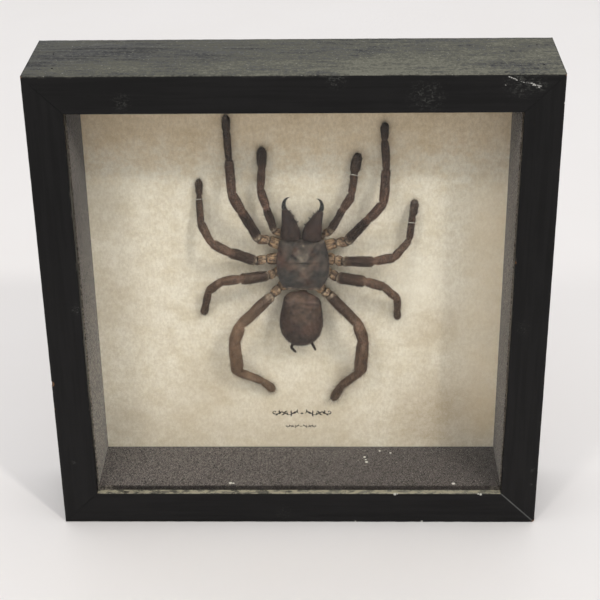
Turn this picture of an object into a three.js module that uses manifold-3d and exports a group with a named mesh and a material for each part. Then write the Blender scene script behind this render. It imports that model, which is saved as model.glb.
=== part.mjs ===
// A dried tarantula in a glazed box frame. Millimetres, +Z up, the glass facing -Y.
// The frame stands on its bottom rail, and the origin is under the middle of that rail.

import * as THREE from 'three';
import { mergeVertices } from 'three/addons/utils/BufferGeometryUtils.js';
import Module from 'manifold-3d';

const wasm = await Module();
wasm.setup();

// ---------------------------------------------------------------- driving sizes

const FIT_GAP = 0.3; // clearance between pieces that rest on or fit into each other

// The frame, and the depth of each layer behind the front of its rails.
const FRAME_SIZE = 250;
const FRAME_DEPTH = 53;
const FACE_WIDTH = 18.5; // from the outside of a rail to its sight edge
const OUTER_ROUND = 0.8;
const SIGHT_ROUND = 0.4;
const LIP_DEPTH = 3.5;
const RABBET_WIDTH = 6;
const GLASS_THICKNESS = 2;
const LINER_DEPTH = 8;
const SHEET_DEPTH = 46;
const SHEET_THICKNESS = 0.4;
const BOARD_THICKNESS = 3;

// Glazier's points: flat tabs pushed into the rabbet to hold the board.
const POINT_WIDTH = 6;
const POINT_LENGTH = 12;
const POINT_BITE = 4; // how much of the tab is in the rail
const POINT_THICKNESS = 0.7;
const POINT_SPREAD = 60; // from the middle of a rail

// The saw-toothed hanger riveted to the board.
const HANGER_WIDTH = 46;
const HANGER_HEIGHT = 8;
const HANGER_THICKNESS = 0.9;
const HANGER_TEETH = 9;
const TOOTH_DEPTH = 1.6;
const HANGER_BELOW_TOP = 34; // from the top of the frame to the hanger's middle
const RIVET_SPREAD = 19;
const RIVET_RADIUS = 1.2;
const RIVET_HEAD_RADIUS = 2.3;
const RIVET_HEAD_HEIGHT = 0.9;

// The spider's place: the middle of its carapace on the sheet. Inside the specimen, x is to
// the right of that, z is towards its fangs, and a lift is a height off the sheet.
const SPIDER_X = 2.9;
const SPIDER_Z = 136;
const COXA_LIFT = 4.3;
const RIM_LIFT = 8.4; // the carapace's edge, over the coxae
const RIM_THICKNESS = 0.7;
const FOOT_CLEARANCE = 0.35;
const BODY_SIDES = 18;
const JAW_SIDES = 12;
const LIMB_SIDES = 10;
const FANG_SIDES = 8;
const SPINNERET_SIDES = 7;

// ---------------------------------------------------------------- shared helpers

const behindFront = (depth) => depth - FRAME_DEPTH / 2;

const finish = (color, roughness, metalness = 0) =>
  new THREE.MeshStandardMaterial({ color, roughness, metalness });

function addPiece(parent, name, geometry, material) {
  const piece = new THREE.Mesh(geometry, material);
  piece.name = name;
  parent.add(piece);
  return piece;
}

function toSolid(geometry) {
  const bare = geometry.clone();
  bare.deleteAttribute('normal');
  bare.deleteAttribute('uv');
  const merged = mergeVertices(bare);
  return new wasm.Manifold(new wasm.Mesh({
    numProp: 3,
    vertProperties: new Float32Array(merged.attributes.position.array),
    triVerts: new Uint32Array(merged.index.array),
  }));
}

function toGeometry(solid) {
  const mesh = solid.getMesh();
  const geometry = new THREE.BufferGeometry();
  geometry.setAttribute('position', new THREE.BufferAttribute(mesh.vertProperties, 3));
  geometry.setIndex(new THREE.BufferAttribute(mesh.triVerts, 1));
  geometry.computeVertexNormals();
  return geometry;
}

const join = (first, ...others) =>
  toGeometry(others.reduce((whole, other) => whole.add(toSolid(other)), toSolid(first)));

const cut = (first, ...others) =>
  toGeometry(others.reduce((whole, other) => whole.subtract(toSolid(other)), toSolid(first)));

// A flat plate standing upright: its outline in x and z, its thickness running back from y.
function plate(outline, front, thickness, curveSegments = 6) {
  const options = { depth: thickness, bevelEnabled: false, curveSegments };
  return new THREE.ExtrudeGeometry(outline, options)
    .rotateX(Math.PI / 2)
    .translate(0, front + thickness, 0);
}

function rectangle(width, height, x = 0, z = 0) {
  const outline = new THREE.Shape();
  outline.moveTo(x - width / 2, z - height / 2);
  outline.lineTo(x + width / 2, z - height / 2);
  outline.lineTo(x + width / 2, z + height / 2);
  outline.lineTo(x - width / 2, z + height / 2);
  return outline;
}

// ---------------------------------------------------------------- the frame

const rabbetHalf = FRAME_SIZE / 2 - FACE_WIDTH + RABBET_WIDTH;
const fillHalf = rabbetHalf - FIT_GAP; // half the size of what drops into the rabbet
const sightHalf = FRAME_SIZE / 2 - FACE_WIDTH;
const boardBack = SHEET_DEPTH + SHEET_THICKNESS + FIT_GAP + BOARD_THICKNESS;

// A rail's section: its face is towards -y, its outside is at 0 and its sight edge inward.
function railSection() {
  const wall = FACE_WIDTH - RABBET_WIDTH;
  const section = new THREE.Shape();
  section.moveTo(0, FRAME_DEPTH);
  section.lineTo(0, OUTER_ROUND);
  section.absarc(OUTER_ROUND, OUTER_ROUND, OUTER_ROUND, Math.PI, 1.5 * Math.PI, false);
  section.lineTo(FACE_WIDTH - SIGHT_ROUND, 0);
  section.absarc(FACE_WIDTH - SIGHT_ROUND, SIGHT_ROUND, SIGHT_ROUND, -Math.PI / 2, 0, false);
  section.lineTo(FACE_WIDTH, LIP_DEPTH);
  section.lineTo(wall, LIP_DEPTH);
  section.lineTo(wall, FRAME_DEPTH);
  return section;
}

// The bottom rail, seen from the middle of the frame: mitred at both ends, with a slot in
// its rabbet wall for each glazier's point.
function railGeometry() {
  const options = { depth: FRAME_SIZE, bevelEnabled: false, curveSegments: 3 };
  const rail = new THREE.ExtrudeGeometry(railSection(), options);
  const place = rail.attributes.position;
  const mitreGap = (FIT_GAP / 2) * Math.SQRT2;
  for (let i = 0; i < place.count; i += 1) {
    const inward = place.getX(i);
    const back = place.getY(i);
    const end = place.getZ(i) > FRAME_SIZE / 2 ? -1 : 1;
    const along = FRAME_SIZE / 2 - place.getZ(i) - end * (inward + mitreGap);
    place.setXYZ(i, along, behindFront(back), inward - FRAME_SIZE / 2);
  }
  const slots = [-1, 1].map((side) => pointSlot(side * POINT_SPREAD));
  return cut(rail, ...slots);
}

function pointSlot(x) {
  const height = POINT_BITE + FIT_GAP;
  const thickness = POINT_THICKNESS + 2 * FIT_GAP;
  return new THREE.BoxGeometry(POINT_WIDTH + 2 * FIT_GAP, thickness, 2 * height)
    .translate(x, behindFront(boardBack + FIT_GAP + POINT_THICKNESS / 2), -rabbetHalf);
}

// A tab with a tapered end, which bites into the rail.
function pointGeometry(x) {
  const half = POINT_WIDTH / 2;
  const tip = -rabbetHalf - POINT_BITE;
  const outline = new THREE.Shape();
  outline.moveTo(x - half, tip + POINT_LENGTH);
  outline.lineTo(x - half, tip + half);
  outline.lineTo(x - half / 3, tip);
  outline.lineTo(x + half / 3, tip);
  outline.lineTo(x + half, tip + half);
  outline.lineTo(x + half, tip + POINT_LENGTH);
  return plate(outline, behindFront(boardBack + FIT_GAP), POINT_THICKNESS);
}

// A flocked strip that lines one side of the box between the glass and the sheet. The top
// and bottom strips run the full width, and the side strips stand between them.
function linerGeometry(fullWidth) {
  const thickness = fillHalf - sightHalf;
  const length = fullWidth ? 2 * fillHalf : 2 * (sightHalf - FIT_GAP);
  const depth = SHEET_DEPTH - FIT_GAP - LINER_DEPTH;
  return new THREE.BoxGeometry(length, depth, thickness)
    .translate(0, behindFront(LINER_DEPTH + depth / 2), -sightHalf - thickness / 2);
}

function boardGeometry() {
  const outline = rectangle(2 * fillHalf, 2 * fillHalf);
  outline.holes.push(...rivetHoles());
  return plate(outline, behindFront(boardBack - BOARD_THICKNESS), BOARD_THICKNESS);
}

function rivetHoles() {
  const z = FRAME_SIZE / 2 - HANGER_BELOW_TOP;
  return [-1, 1].map((side) =>
    new THREE.Path().absarc(side * RIVET_SPREAD, z, RIVET_RADIUS + FIT_GAP, 0, 2 * Math.PI, true));
}

function hangerGeometry() {
  const middle = FRAME_SIZE / 2 - HANGER_BELOW_TOP;
  const bottom = middle - HANGER_HEIGHT / 2;
  const half = HANGER_WIDTH / 2;
  const toothed = RIVET_SPREAD - 2 * RIVET_HEAD_RADIUS;
  const pitch = (2 * toothed) / HANGER_TEETH;
  const outline = new THREE.Shape();
  outline.moveTo(-half, bottom);
  outline.lineTo(-toothed, bottom);
  for (let tooth = 0; tooth < HANGER_TEETH; tooth += 1) {
    outline.lineTo(-toothed + (tooth + 0.5) * pitch, bottom + TOOTH_DEPTH);
    outline.lineTo(-toothed + (tooth + 1) * pitch, bottom);
  }
  outline.lineTo(half, bottom);
  outline.lineTo(half, middle + HANGER_HEIGHT / 2);
  outline.lineTo(-half, middle + HANGER_HEIGHT / 2);
  outline.holes.push(...rivetHoles());
  return plate(outline, behindFront(boardBack + FIT_GAP), HANGER_THICKNESS);
}

// A domed head behind the hanger, on a shank that goes through the hanger and the board.
function rivetGeometry(side) {
  const shank = BOARD_THICKNESS + HANGER_THICKNESS + 2 * FIT_GAP;
  const profile = new THREE.Path();
  profile.moveTo(0, 0);
  profile.lineTo(RIVET_RADIUS, 0);
  profile.lineTo(RIVET_RADIUS, shank);
  profile.lineTo(RIVET_HEAD_RADIUS, shank);
  const crown = shank + RIVET_HEAD_HEIGHT;
  profile.quadraticCurveTo(RIVET_HEAD_RADIUS, crown, 0, crown);
  return new THREE.LatheGeometry(profile.getPoints(4), 12)
    .translate(0, behindFront(boardBack - BOARD_THICKNESS), 0)
    .translate(side * RIVET_SPREAD, 0, FRAME_SIZE / 2 - HANGER_BELOW_TOP);
}

function buildFrame() {
  const frame = new THREE.Group();
  frame.position.z = FRAME_SIZE / 2;
  ['bottom', 'left', 'top', 'right'].forEach((sideName, turn) => {
    const side = new THREE.Group();
    side.rotation.y = turn * (Math.PI / 2);
    addPiece(side, `rail_${sideName}`, railGeometry(), finish(0x1c1c1b, 0.5));
    addPiece(side, `liner_${sideName}`, linerGeometry(turn % 2 === 0), finish(0x2b2a28, 0.95));
    [-1, 1].forEach((end, index) => {
      const name = `point_${sideName}_${index + 1}`;
      addPiece(side, name, pointGeometry(end * POINT_SPREAD), finish(0x8b8d8f, 0.4, 1));
    });
    frame.add(side);
  });

  const square = () => rectangle(2 * fillHalf, 2 * fillHalf);
  const glass = plate(square(), behindFront(LIP_DEPTH + FIT_GAP), GLASS_THICKNESS);
  const glassFinish = finish(0xeef2f0, 0.05);
  glassFinish.transparent = true;
  glassFinish.opacity = 0.15;
  addPiece(frame, 'glass_pane', glass, glassFinish);
  addPiece(frame, 'parchment_sheet', plate(square(), behindFront(SHEET_DEPTH), SHEET_THICKNESS),
    finish(0xd2c8b6, 0.85));
  addPiece(frame, 'back_board', boardGeometry(), finish(0x6b4a30, 0.75));
  addPiece(frame, 'hanger', hangerGeometry(), finish(0x9a9a98, 0.35, 1));
  addPiece(frame, 'rivet_left', rivetGeometry(-1), finish(0x9a9a98, 0.35, 1));
  addPiece(frame, 'rivet_right', rivetGeometry(1), finish(0x9a9a98, 0.35, 1));
  return frame;
}

// ---------------------------------------------------------------- the spider's skins

const radians = THREE.MathUtils.degToRad;
const onSheet = ([x, z, lift]) => new THREE.Vector3(x, -lift, z);
const offSheet = new THREE.Vector3(0, -1, 0);

// A closed skin over ovals set one after another. Each has its middle, its half width, and
// how far it goes above and below its middle. It faces along, or if it has no direction of
// its own, from the oval before it to the next. The first and the last are the end points.
function skin(ovals, sides) {
  const last = ovals.length - 1;
  const middles = ovals.map((oval) => onSheet([oval.x, oval.z, oval.lift]));
  const geometry = new THREE.SphereGeometry(1, sides, last);
  const place = geometry.attributes.position;
  const point = new THREE.Vector3();
  for (let i = 0; i < place.count; i += 1) {
    point.fromBufferAttribute(place, i);
    const ring = Math.round((Math.acos(THREE.MathUtils.clamp(point.y, -1, 1)) / Math.PI) * last);
    const spot = middles[ring].clone();
    if (ring > 0 && ring < last) {
      const { wide, rise, drop } = ovals[ring];
      const between = middles[ring + 1].clone().sub(middles[ring - 1]);
      const along = (ovals[ring].along ?? between).clone().normalize();
      const up = offSheet.clone().addScaledVector(along, -offSheet.dot(along)).normalize();
      const across = up.clone().cross(along);
      const reach = Math.hypot(point.x, point.z);
      const lift = point.z / reach;
      spot.addScaledVector(across, (wide * point.x) / reach);
      spot.addScaledVector(up, lift * (lift > 0 ? rise : drop));
    }
    place.setXYZ(i, spot.x, spot.y, spot.z);
  }
  geometry.computeVertexNormals();
  return geometry;
}

// ---------------------------------------------------------------- legs and palps

// Half thickness of each segment, and its length, from the femur out. The first two
// thicknesses are the coxa and the trochanter, whose length follows from socket and hip.
// The socket is where the coxa meets the breastplate, to the right and forward.
const LIMB_KINDS = {
  palp: { socket: [3.5, 10], girths: [2.2, 2.1, 2.15, 2.3, 2.2, 2.6],
    lengths: [15.5, 9.5, 10.5, 11] },
  leg1: { socket: [7, 6.6], girths: [3, 2.7, 2.65, 2.7, 2.6, 2.05, 2.2],
    lengths: [22, 11, 17.5, 14.5, 8.5] },
  leg2: { socket: [8.2, 0.6], girths: [3, 2.7, 2.8, 2.45, 2.2, 1.95, 2.1],
    lengths: [18, 10.5, 12.5, 14, 8.5] },
  leg3: { socket: [7.4, -5.3], girths: [2.9, 2.6, 3, 2.5, 2.4, 2.05, 2.05],
    lengths: [17, 10, 13, 10.5, 7] },
  leg4: { socket: [4.2, -10.5], girths: [2.9, 2.6, 3, 3.3, 3.45, 2.45, 2.35],
    lengths: [23, 12.5, 23.5, 15, 10.5] },
};

// How each limb lies, in degrees, segment by segment from the femur out: heading turns
// anticlockwise from the right, and climb is off the sheet. A hip is x, z and lift.
const LIMBS = [
  { name: 'palp_left', kind: 'palp', hip: [-14.6, 17.5, 6.2],
    heading: [103, 108, 85, 91], climb: [15, -14, -16, -12] },
  { name: 'palp_right', kind: 'palp', hip: [14, 16.6, 5.8],
    heading: [64, 64, 81, 80], climb: [11, 5, -30, -5] },
  { name: 'leg_left_1', kind: 'leg1', hip: [-22.6, 13.1, 6.5],
    heading: [112, 115, 96, 94, 91], climb: [22, 5, -37, -8, -7] },
  { name: 'leg_right_1', kind: 'leg1', hip: [22.6, 10.8, 5.5],
    heading: [58, 47, 85, 93, 92], climb: [26, -4, -22, -17, -13] },
  { name: 'leg_left_2', kind: 'leg2', hip: [-24.2, 0.1, 5.6],
    heading: [145, 148, 127, 92, 90], climb: [30, 4, -39, -19, -11] },
  { name: 'leg_right_2', kind: 'leg2', hip: [20.6, -0.2, 6.3],
    heading: [14, 9, 38, 85, 77], climb: [27, -7, -36, 3, -39] },
  { name: 'leg_left_3', kind: 'leg3', hip: [-18.2, -8.7, 5.8],
    heading: [168, 194, 227, 260, 258], climb: [34, -11, -27, -22, -9] },
  { name: 'leg_right_3', kind: 'leg3', hip: [17.5, -9.5, 6.2],
    heading: [8, -21, -53, -86, -88], climb: [30, -2, -26, -29, -16] },
  { name: 'leg_left_4', kind: 'leg4', hip: [-16, -19.2, 7],
    heading: [217, 252, 272, 332, 307], climb: [25, -13, -17, -9, -20] },
  { name: 'leg_right_4', kind: 'leg4', hip: [13.1, -21.4, 2],
    heading: [-32, -75, -94, -133, -117], climb: [40, -11, -15, -16, -1] },
];

// Where rings stand along a segment, and their share of its thickness. Each segment swells
// a little past its middle, and the last one ends in a round pad.
const COXA_RINGS = [[0.04, 0.75], [0.4, 1], [0.85, 0.98]];
const TROCHANTER_RINGS = [[0.5, 1]];
const SEGMENT_RINGS = [[0.09, 0.97], [0.55, 1.03], [0.9, 0.98]];
const FOOT_RINGS = [[0.1, 0.97], [0.45, 1.03], [0.78, 1], [0.96, 0.6]];
const JOINT_PINCH = 0.9; // the skin between two segments, as a share of the thinner one
const BEND_ROOM = 1.15;
const COXA_SHARE = 0.68; // of the way from the socket to the hip

// The joints of a limb, from its socket to its tip.
function jointsOf(limb) {
  const kind = LIMB_KINDS[limb.kind];
  const side = Math.sign(limb.hip[0]);
  const socket = onSheet([side * kind.socket[0], kind.socket[1], COXA_LIFT]);
  const hip = onSheet(limb.hip);
  const coxaEnd = socket.clone().lerp(hip, COXA_SHARE);
  coxaEnd.y = -COXA_LIFT;
  const joints = [socket, coxaEnd, hip];
  kind.lengths.forEach((length, index) => {
    const heading = radians(limb.heading[index]);
    const climb = radians(limb.climb[index]);
    const flat = length * Math.cos(climb);
    const step = new THREE.Vector3(
      flat * Math.cos(heading), -length * Math.sin(climb), flat * Math.sin(heading));
    joints.push(joints[joints.length - 1].clone().add(step));
  });
  return joints;
}

function ovalAt(point, along, girth) {
  const lift = -point.y;
  const drop = Math.min(girth, lift - FOOT_CLEARANCE); // a low limb is flattened on the sheet
  return { x: point.x, z: point.z, lift, along, wide: girth, rise: girth, drop };
}

// How far from a bent joint a ring must stay, so that the skin doesn't fold inside the bend.
function bendRoom(before, after, girth) {
  return BEND_ROOM * girth * Math.tan(before.angleTo(after) / 2);
}

function ringsOf(index, count) {
  if (index === 0) {
    return COXA_RINGS;
  }
  if (index === 1) {
    return TROCHANTER_RINGS;
  }
  return index === count - 1 ? FOOT_RINGS : SEGMENT_RINGS;
}

function limbGeometry(limb) {
  const { girths } = LIMB_KINDS[limb.kind];
  const joints = jointsOf(limb);
  const steps = girths.map((_, index) => joints[index + 1].clone().sub(joints[index]));
  const ovals = [ovalAt(joints[0], steps[0], 0)];
  girths.forEach((girth, index) => {
    const step = steps[index];
    const next = steps[index + 1];
    const length = step.length();
    const nearest = index > 0 ? bendRoom(steps[index - 1], step, girth) : 0;
    const farthest = length - (next ? bendRoom(step, next, girth) : 0);
    ringsOf(index, girths.length).forEach(([share, swell]) => {
      const reach = THREE.MathUtils.clamp(share * length, nearest, farthest);
      const middle = joints[index].clone().addScaledVector(step, reach / length);
      ovals.push(ovalAt(middle, step, girth * swell));
    });
    if (next) {
      const bisector = step.clone().normalize().add(next.clone().normalize());
      const pinch = JOINT_PINCH * Math.min(girth, girths[index + 1]);
      ovals.push(ovalAt(joints[index + 1], bisector, pinch));
    }
  });
  ovals.push(ovalAt(joints[joints.length - 1], steps[steps.length - 1], 0));
  return skin(ovals, LIMB_SIDES);
}

// ---------------------------------------------------------------- trunk, jaws and fangs

// Rows from front to back or from root to tip: z, x, lift, half width, rise and drop.
const ovalsFrom = (rows) =>
  rows.map(([z, x, lift, wide, rise, drop]) => ({ x, z, lift, wide, rise, drop }));

// The carapace is a low dome with a flat underside, on a body that narrows between the
// coxae to the breastplate. A short cross groove dents its middle, and the eyes sit on a
// small hill at its front edge.
function cephalothoraxGeometry() {
  const dome = [
    [13.9, -0.5, RIM_LIFT + 1, 0, 0, 0],
    [13.7, -0.5, RIM_LIFT, 10, 3, RIM_THICKNESS],
    [12, -0.5, RIM_LIFT, 11.5, 4.2, RIM_THICKNESS],
    [8, -0.3, RIM_LIFT, 12.6, 4.9, RIM_THICKNESS],
    [3.5, -0.1, RIM_LIFT, 13.4, 4.9, RIM_THICKNESS],
    [-0.5, 0, RIM_LIFT, 13.6, 4.6, RIM_THICKNESS],
    [-4.5, 0, RIM_LIFT, 13.5, 4.3, RIM_THICKNESS],
    [-8.5, 0, RIM_LIFT, 12.8, 3.7, RIM_THICKNESS],
    [-12, 0, RIM_LIFT, 11.2, 2.7, RIM_THICKNESS],
    [-14.2, 0, RIM_LIFT, 9.4, 1.8, RIM_THICKNESS],
    [-15.5, 0, RIM_LIFT, 7.6, 1, RIM_THICKNESS],
    [-15.9, 0, RIM_LIFT, 0, 0, 0],
  ];
  const trunk = new THREE.SphereGeometry(1, BODY_SIDES, 8)
    .scale(7.4, 4, 10.2)
    .translate(0, -5.4, -0.3);
  const eyeHill = new THREE.SphereGeometry(1, 10, 6)
    .scale(1.7, 1, 1.2)
    .translate(-0.1, -(RIM_LIFT + 4.1), 11.6);
  const groove = new THREE.SphereGeometry(1, 10, 6)
    .scale(2.2, 0.9, 0.7)
    .translate(0.2, -(RIM_LIFT + 5.1), 1.4);
  return cut(join(skin(ovalsFrom(dome), BODY_SIDES), trunk, eyeHill), groove);
}

// The abdomen hangs on a narrow stalk and ends in two finger-like spinnerets.
function abdomenGeometry() {
  const sack = [
    [-14.9, 0, 6, 0, 0, 0],
    [-15, 0, 6, 1.9, 1.4, 1.7],
    [-16.2, 0, 6, 2.1, 1.4, 1.8],
    [-17.4, -0.1, 7, 2.8, 1.6, 2.2],
    [-18.2, -0.3, 7.9, 6.4, 3.6, 3.4],
    [-20, -0.5, 8.5, 9.2, 5.8, 5.2],
    [-24, -0.7, 9, 10.1, 7, 6.4],
    [-29.5, -0.9, 9, 11, 7.8, 7],
    [-34.5, -1, 9, 11.4, 8, 7.2],
    [-39, -1, 9, 10.7, 7.4, 6.8],
    [-42.5, -0.8, 8.6, 9, 6.2, 5.8],
    [-45, -0.6, 8.2, 6.9, 4.8, 4.6],
    [-46.6, -0.5, 8, 4.6, 3, 3],
    [-47, -0.5, 8, 0, 0, 0],
  ];
  const left = [
    [-44.5, -5, 7, 0, 0, 0],
    [-44.6, -5, 7, 0.8, 0.8, 0.8],
    [-48.5, -5.8, 6.8, 0.8, 0.8, 0.8],
    [-51.2, -6.6, 6, 0.7, 0.7, 0.7],
    [-54.4, -4.6, 5.1, 0.55, 0.55, 0.55],
    [-54.9, -4.3, 5, 0, 0, 0],
  ];
  const right = [
    [-44.9, 3.6, 7, 0, 0, 0],
    [-45, 3.6, 7, 0.75, 0.75, 0.75],
    [-48.2, 4.3, 6.8, 0.7, 0.7, 0.7],
    [-52.9, 6, 5.4, 0.5, 0.5, 0.5],
    [-53.5, 6.2, 5.2, 0, 0, 0],
  ];
  const spinnerets = [left, right].map((rows) => skin(ovalsFrom(rows), SPINNERET_SIDES));
  return join(skin(ovalsFrom(sack), BODY_SIDES), ...spinnerets);
}

// A jaw's base is as wide as half the carapace, and its inner side slants out to the fang.
const JAW_ROWS = [
  [14.2, 5.3, 9.6, 0, 0, 0],
  [14.4, 5.3, 9.6, 4.7, 3.2, 2.4],
  [16, 5.3, 9.6, 5.1, 3.9, 2.8],
  [18.5, 5.6, 9.3, 4.9, 3.9, 3.4],
  [21.5, 6.4, 9, 4.2, 3.6, 4],
  [24.5, 7.4, 8.6, 3.2, 3.1, 3.6],
  [27.2, 8.4, 8.3, 2.3, 2.4, 2.6],
  [29.2, 9.2, 8.1, 1.6, 1.7, 1.8],
  [29.7, 9.3, 8, 0, 0, 0],
];
const JAW_MIDDLE_X = -0.8;
const JAW_TEETH = 8;
const TOOTH_LENGTH = 1.3;
const TOOTH_RADIUS = 0.45;

// A point on the jaw's slanting inner side, from its middle (0) to its tip (1).
function innerSide(share) {
  const first = 4;
  const place = first + share * (JAW_ROWS.length - 2 - first);
  const row = Math.min(Math.floor(place), JAW_ROWS.length - 3);
  const [before, after] = [JAW_ROWS[row], JAW_ROWS[row + 1]];
  const mix = (column) => THREE.MathUtils.lerp(before[column], after[column], place - row);
  return onSheet([mix(1) - mix(3), mix(0), mix(2)]);
}

function jawGeometry() {
  const teeth = [];
  for (let tooth = 0; tooth < JAW_TEETH; tooth += 1) {
    const cone = new THREE.ConeGeometry(TOOTH_RADIUS, TOOTH_LENGTH, 5)
      .rotateX(Math.PI / 2)
      .translate(0, 0, TOOTH_LENGTH * 0.3)
      .rotateY(radians(-58));
    const root = innerSide((tooth + 0.3) / JAW_TEETH);
    teeth.push(cone.translate(root.x, root.y, root.z));
  }
  return join(skin(ovalsFrom(JAW_ROWS), JAW_SIDES), ...teeth);
}

// A fang sweeps forward from the jaw's tip and hooks inward to its point.
const FANG_ROWS = [
  [30, 9.4, 8, 0, 0, 0],
  [30.1, 9.4, 8, 1.3, 1.3, 1.3],
  [31.7, 9.6, 8.1, 1.1, 1.1, 1.1],
  [33.3, 9.5, 8, 0.9, 0.9, 0.9],
  [34.6, 8.9, 7.6, 0.65, 0.65, 0.65],
  [35.4, 7.9, 7, 0.36, 0.36, 0.36],
  [35.5, 6.6, 6.3, 0, 0, 0],
];

// Jaw and fang are drawn for the right side and mirrored for the left. Each jaw is then
// turned at its base, in degrees to the right, with its fang.
const JAWS = [
  { name: 'left', mirror: -1, lean: 3.5 },
  { name: 'right', mirror: 1, lean: 3.5 },
];

function handed(geometry, { mirror, lean }) {
  geometry.scale(mirror, 1, 1);
  if (mirror < 0) {
    geometry.index.array.reverse(); // a mirrored skin is turned right side out again
  }
  return geometry.translate(0, 0, -JAW_ROWS[0][0])
    .rotateY(radians(lean))
    .translate(JAW_MIDDLE_X, 0, JAW_ROWS[0][0]);
}

// ---------------------------------------------------------------- ties

// A loop of clear thread over a foot, with both ends down at the sheet. Its spots are told
// by reach to the side, in half widths of the loop, lift, and share of the slant.
const THREAD_RADIUS = 0.15;
const THREAD_SLACK = 0.25;
const TIE_SLANT = 2; // how far the ends are set back along the foot
const TIES = [
  { name: 'tie_leg_left_2', limb: 'leg_left_2', segment: 5, share: 0.93 },
  { name: 'tie_palp_right', limb: 'palp_right', segment: 5, share: 0.05 },
  { name: 'tie_leg_right_2', limb: 'leg_right_2', segment: 5, share: 0.8 },
];

function tieGeometry(tie) {
  const limb = LIMBS.find(({ name }) => name === tie.limb);
  const joints = jointsOf(limb);
  const middle = joints[tie.segment].clone().lerp(joints[tie.segment + 1], tie.share);
  const along = joints[tie.segment + 1].clone().sub(joints[tie.segment]).setY(0).normalize();
  const across = offSheet.clone().cross(along);
  const girth = LIMB_KINDS[limb.kind].girths[tie.segment] * FOOT_RINGS[1][1];
  const half = girth + THREAD_SLACK + THREAD_RADIUS;
  const foot = FIT_GAP + THREAD_RADIUS;
  const top = -middle.y + half;
  const shoulder = top - 0.2;
  const flank = (foot + top) / 2;
  const spots = [[-1.35, foot, 1], [-1.1, flank, 0.45], [-0.62, shoulder, 0.05], [0, top, 0],
    [0.62, shoulder, 0.05], [1.1, flank, 0.45], [1.35, foot, 1]];
  const curve = new THREE.CatmullRomCurve3(spots.map(([reach, lift, slant]) =>
    new THREE.Vector3(middle.x, -lift, middle.z)
      .addScaledVector(across, reach * half)
      .addScaledVector(along, -slant * TIE_SLANT)));
  const section = new THREE.Shape().absarc(0, 0, THREAD_RADIUS, 0, 2 * Math.PI, false);
  return new THREE.ExtrudeGeometry(section, { steps: 14, curveSegments: 3, extrudePath: curve });
}

// ---------------------------------------------------------------- the specimen

function buildSpecimen() {
  const specimen = new THREE.Group();
  specimen.position.set(SPIDER_X, behindFront(SHEET_DEPTH), SPIDER_Z);
  addPiece(specimen, 'cephalothorax', cephalothoraxGeometry(), finish(0x4a443e, 0.8));
  addPiece(specimen, 'abdomen', abdomenGeometry(), finish(0x443d37, 0.95));
  JAWS.forEach((side) => {
    addPiece(specimen, `chelicera_${side.name}`, handed(jawGeometry(), side), finish(0x403a38, 0.9));
    addPiece(specimen, `fang_${side.name}`, handed(skin(ovalsFrom(FANG_ROWS), FANG_SIDES), side),
      finish(0x14100e, 0.2));
  });
  LIMBS.forEach((limb) => {
    addPiece(specimen, limb.name, limbGeometry(limb), finish(0x4b403a, 0.95));
  });
  TIES.forEach((tie) => {
    addPiece(specimen, tie.name, tieGeometry(tie), finish(0xe8e6dc, 0.3));
  });
  return specimen;
}

const framedTarantula = new THREE.Group();
framedTarantula.add(buildFrame(), buildSpecimen());

export default framedTarantula;
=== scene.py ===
"""A dried tarantula on parchment, in a black box frame with a glass front.

Metres, +Z up, the glass towards -Y, and the origin under the middle of the bottom rail.
"""

import functools
import math

import bmesh
import bpy
import numpy as np
from mathutils import Matrix, Vector, noise


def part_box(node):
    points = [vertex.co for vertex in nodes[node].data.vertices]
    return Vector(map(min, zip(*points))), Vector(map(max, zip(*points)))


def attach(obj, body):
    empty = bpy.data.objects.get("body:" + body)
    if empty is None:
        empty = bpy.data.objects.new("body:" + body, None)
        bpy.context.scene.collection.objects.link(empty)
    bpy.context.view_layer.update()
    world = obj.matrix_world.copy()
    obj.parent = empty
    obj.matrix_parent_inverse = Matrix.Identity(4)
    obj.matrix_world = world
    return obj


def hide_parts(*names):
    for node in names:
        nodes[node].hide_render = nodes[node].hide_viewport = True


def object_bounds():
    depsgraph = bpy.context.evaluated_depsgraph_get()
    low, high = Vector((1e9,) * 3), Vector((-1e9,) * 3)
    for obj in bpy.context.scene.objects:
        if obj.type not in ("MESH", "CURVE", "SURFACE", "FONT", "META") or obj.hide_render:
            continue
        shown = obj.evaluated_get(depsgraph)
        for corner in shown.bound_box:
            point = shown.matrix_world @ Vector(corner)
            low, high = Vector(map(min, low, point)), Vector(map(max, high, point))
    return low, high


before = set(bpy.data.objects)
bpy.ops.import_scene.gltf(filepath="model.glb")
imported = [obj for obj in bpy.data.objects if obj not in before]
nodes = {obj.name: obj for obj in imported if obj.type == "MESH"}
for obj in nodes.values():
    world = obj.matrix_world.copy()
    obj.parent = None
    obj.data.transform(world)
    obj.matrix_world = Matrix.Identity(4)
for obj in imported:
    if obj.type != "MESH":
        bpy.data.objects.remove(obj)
cad_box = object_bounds()
MM = 0.001

# ---------------------------------------------------------------- view, floor and lamps
# The frame stands on a plain pale table, and somebody who stands in front of it looks down
# at the glass. A soft lamp hangs above it to the right, a weak one to the left, and the pale
# walls of the room light the rest.
EYE = Vector((0.01824, -0.68453, 0.48271))
LOOK_DOWN, TURN_LEFT, TILT = (math.radians(a) for a in (27.904, 1.045, 0.684))
LENS = 90.87
FLOOR_REACH = 6.0


class Field:
    """An output in a node tree, which takes part in sums as a number does."""

    def __init__(self, tree, socket):
        self.tree, self.socket = tree, socket

    def __add__(self, other):
        return worked_out("ADD", self, other)

    def __sub__(self, other):
        return worked_out("SUBTRACT", self, other)

    def __rsub__(self, other):
        return worked_out("SUBTRACT", other, self)

    def __mul__(self, other):
        return worked_out("MULTIPLY", self, other)

    def __truediv__(self, other):
        return worked_out("DIVIDE", self, other)

    def __abs__(self):
        return worked_out("ABSOLUTE", self)


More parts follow.
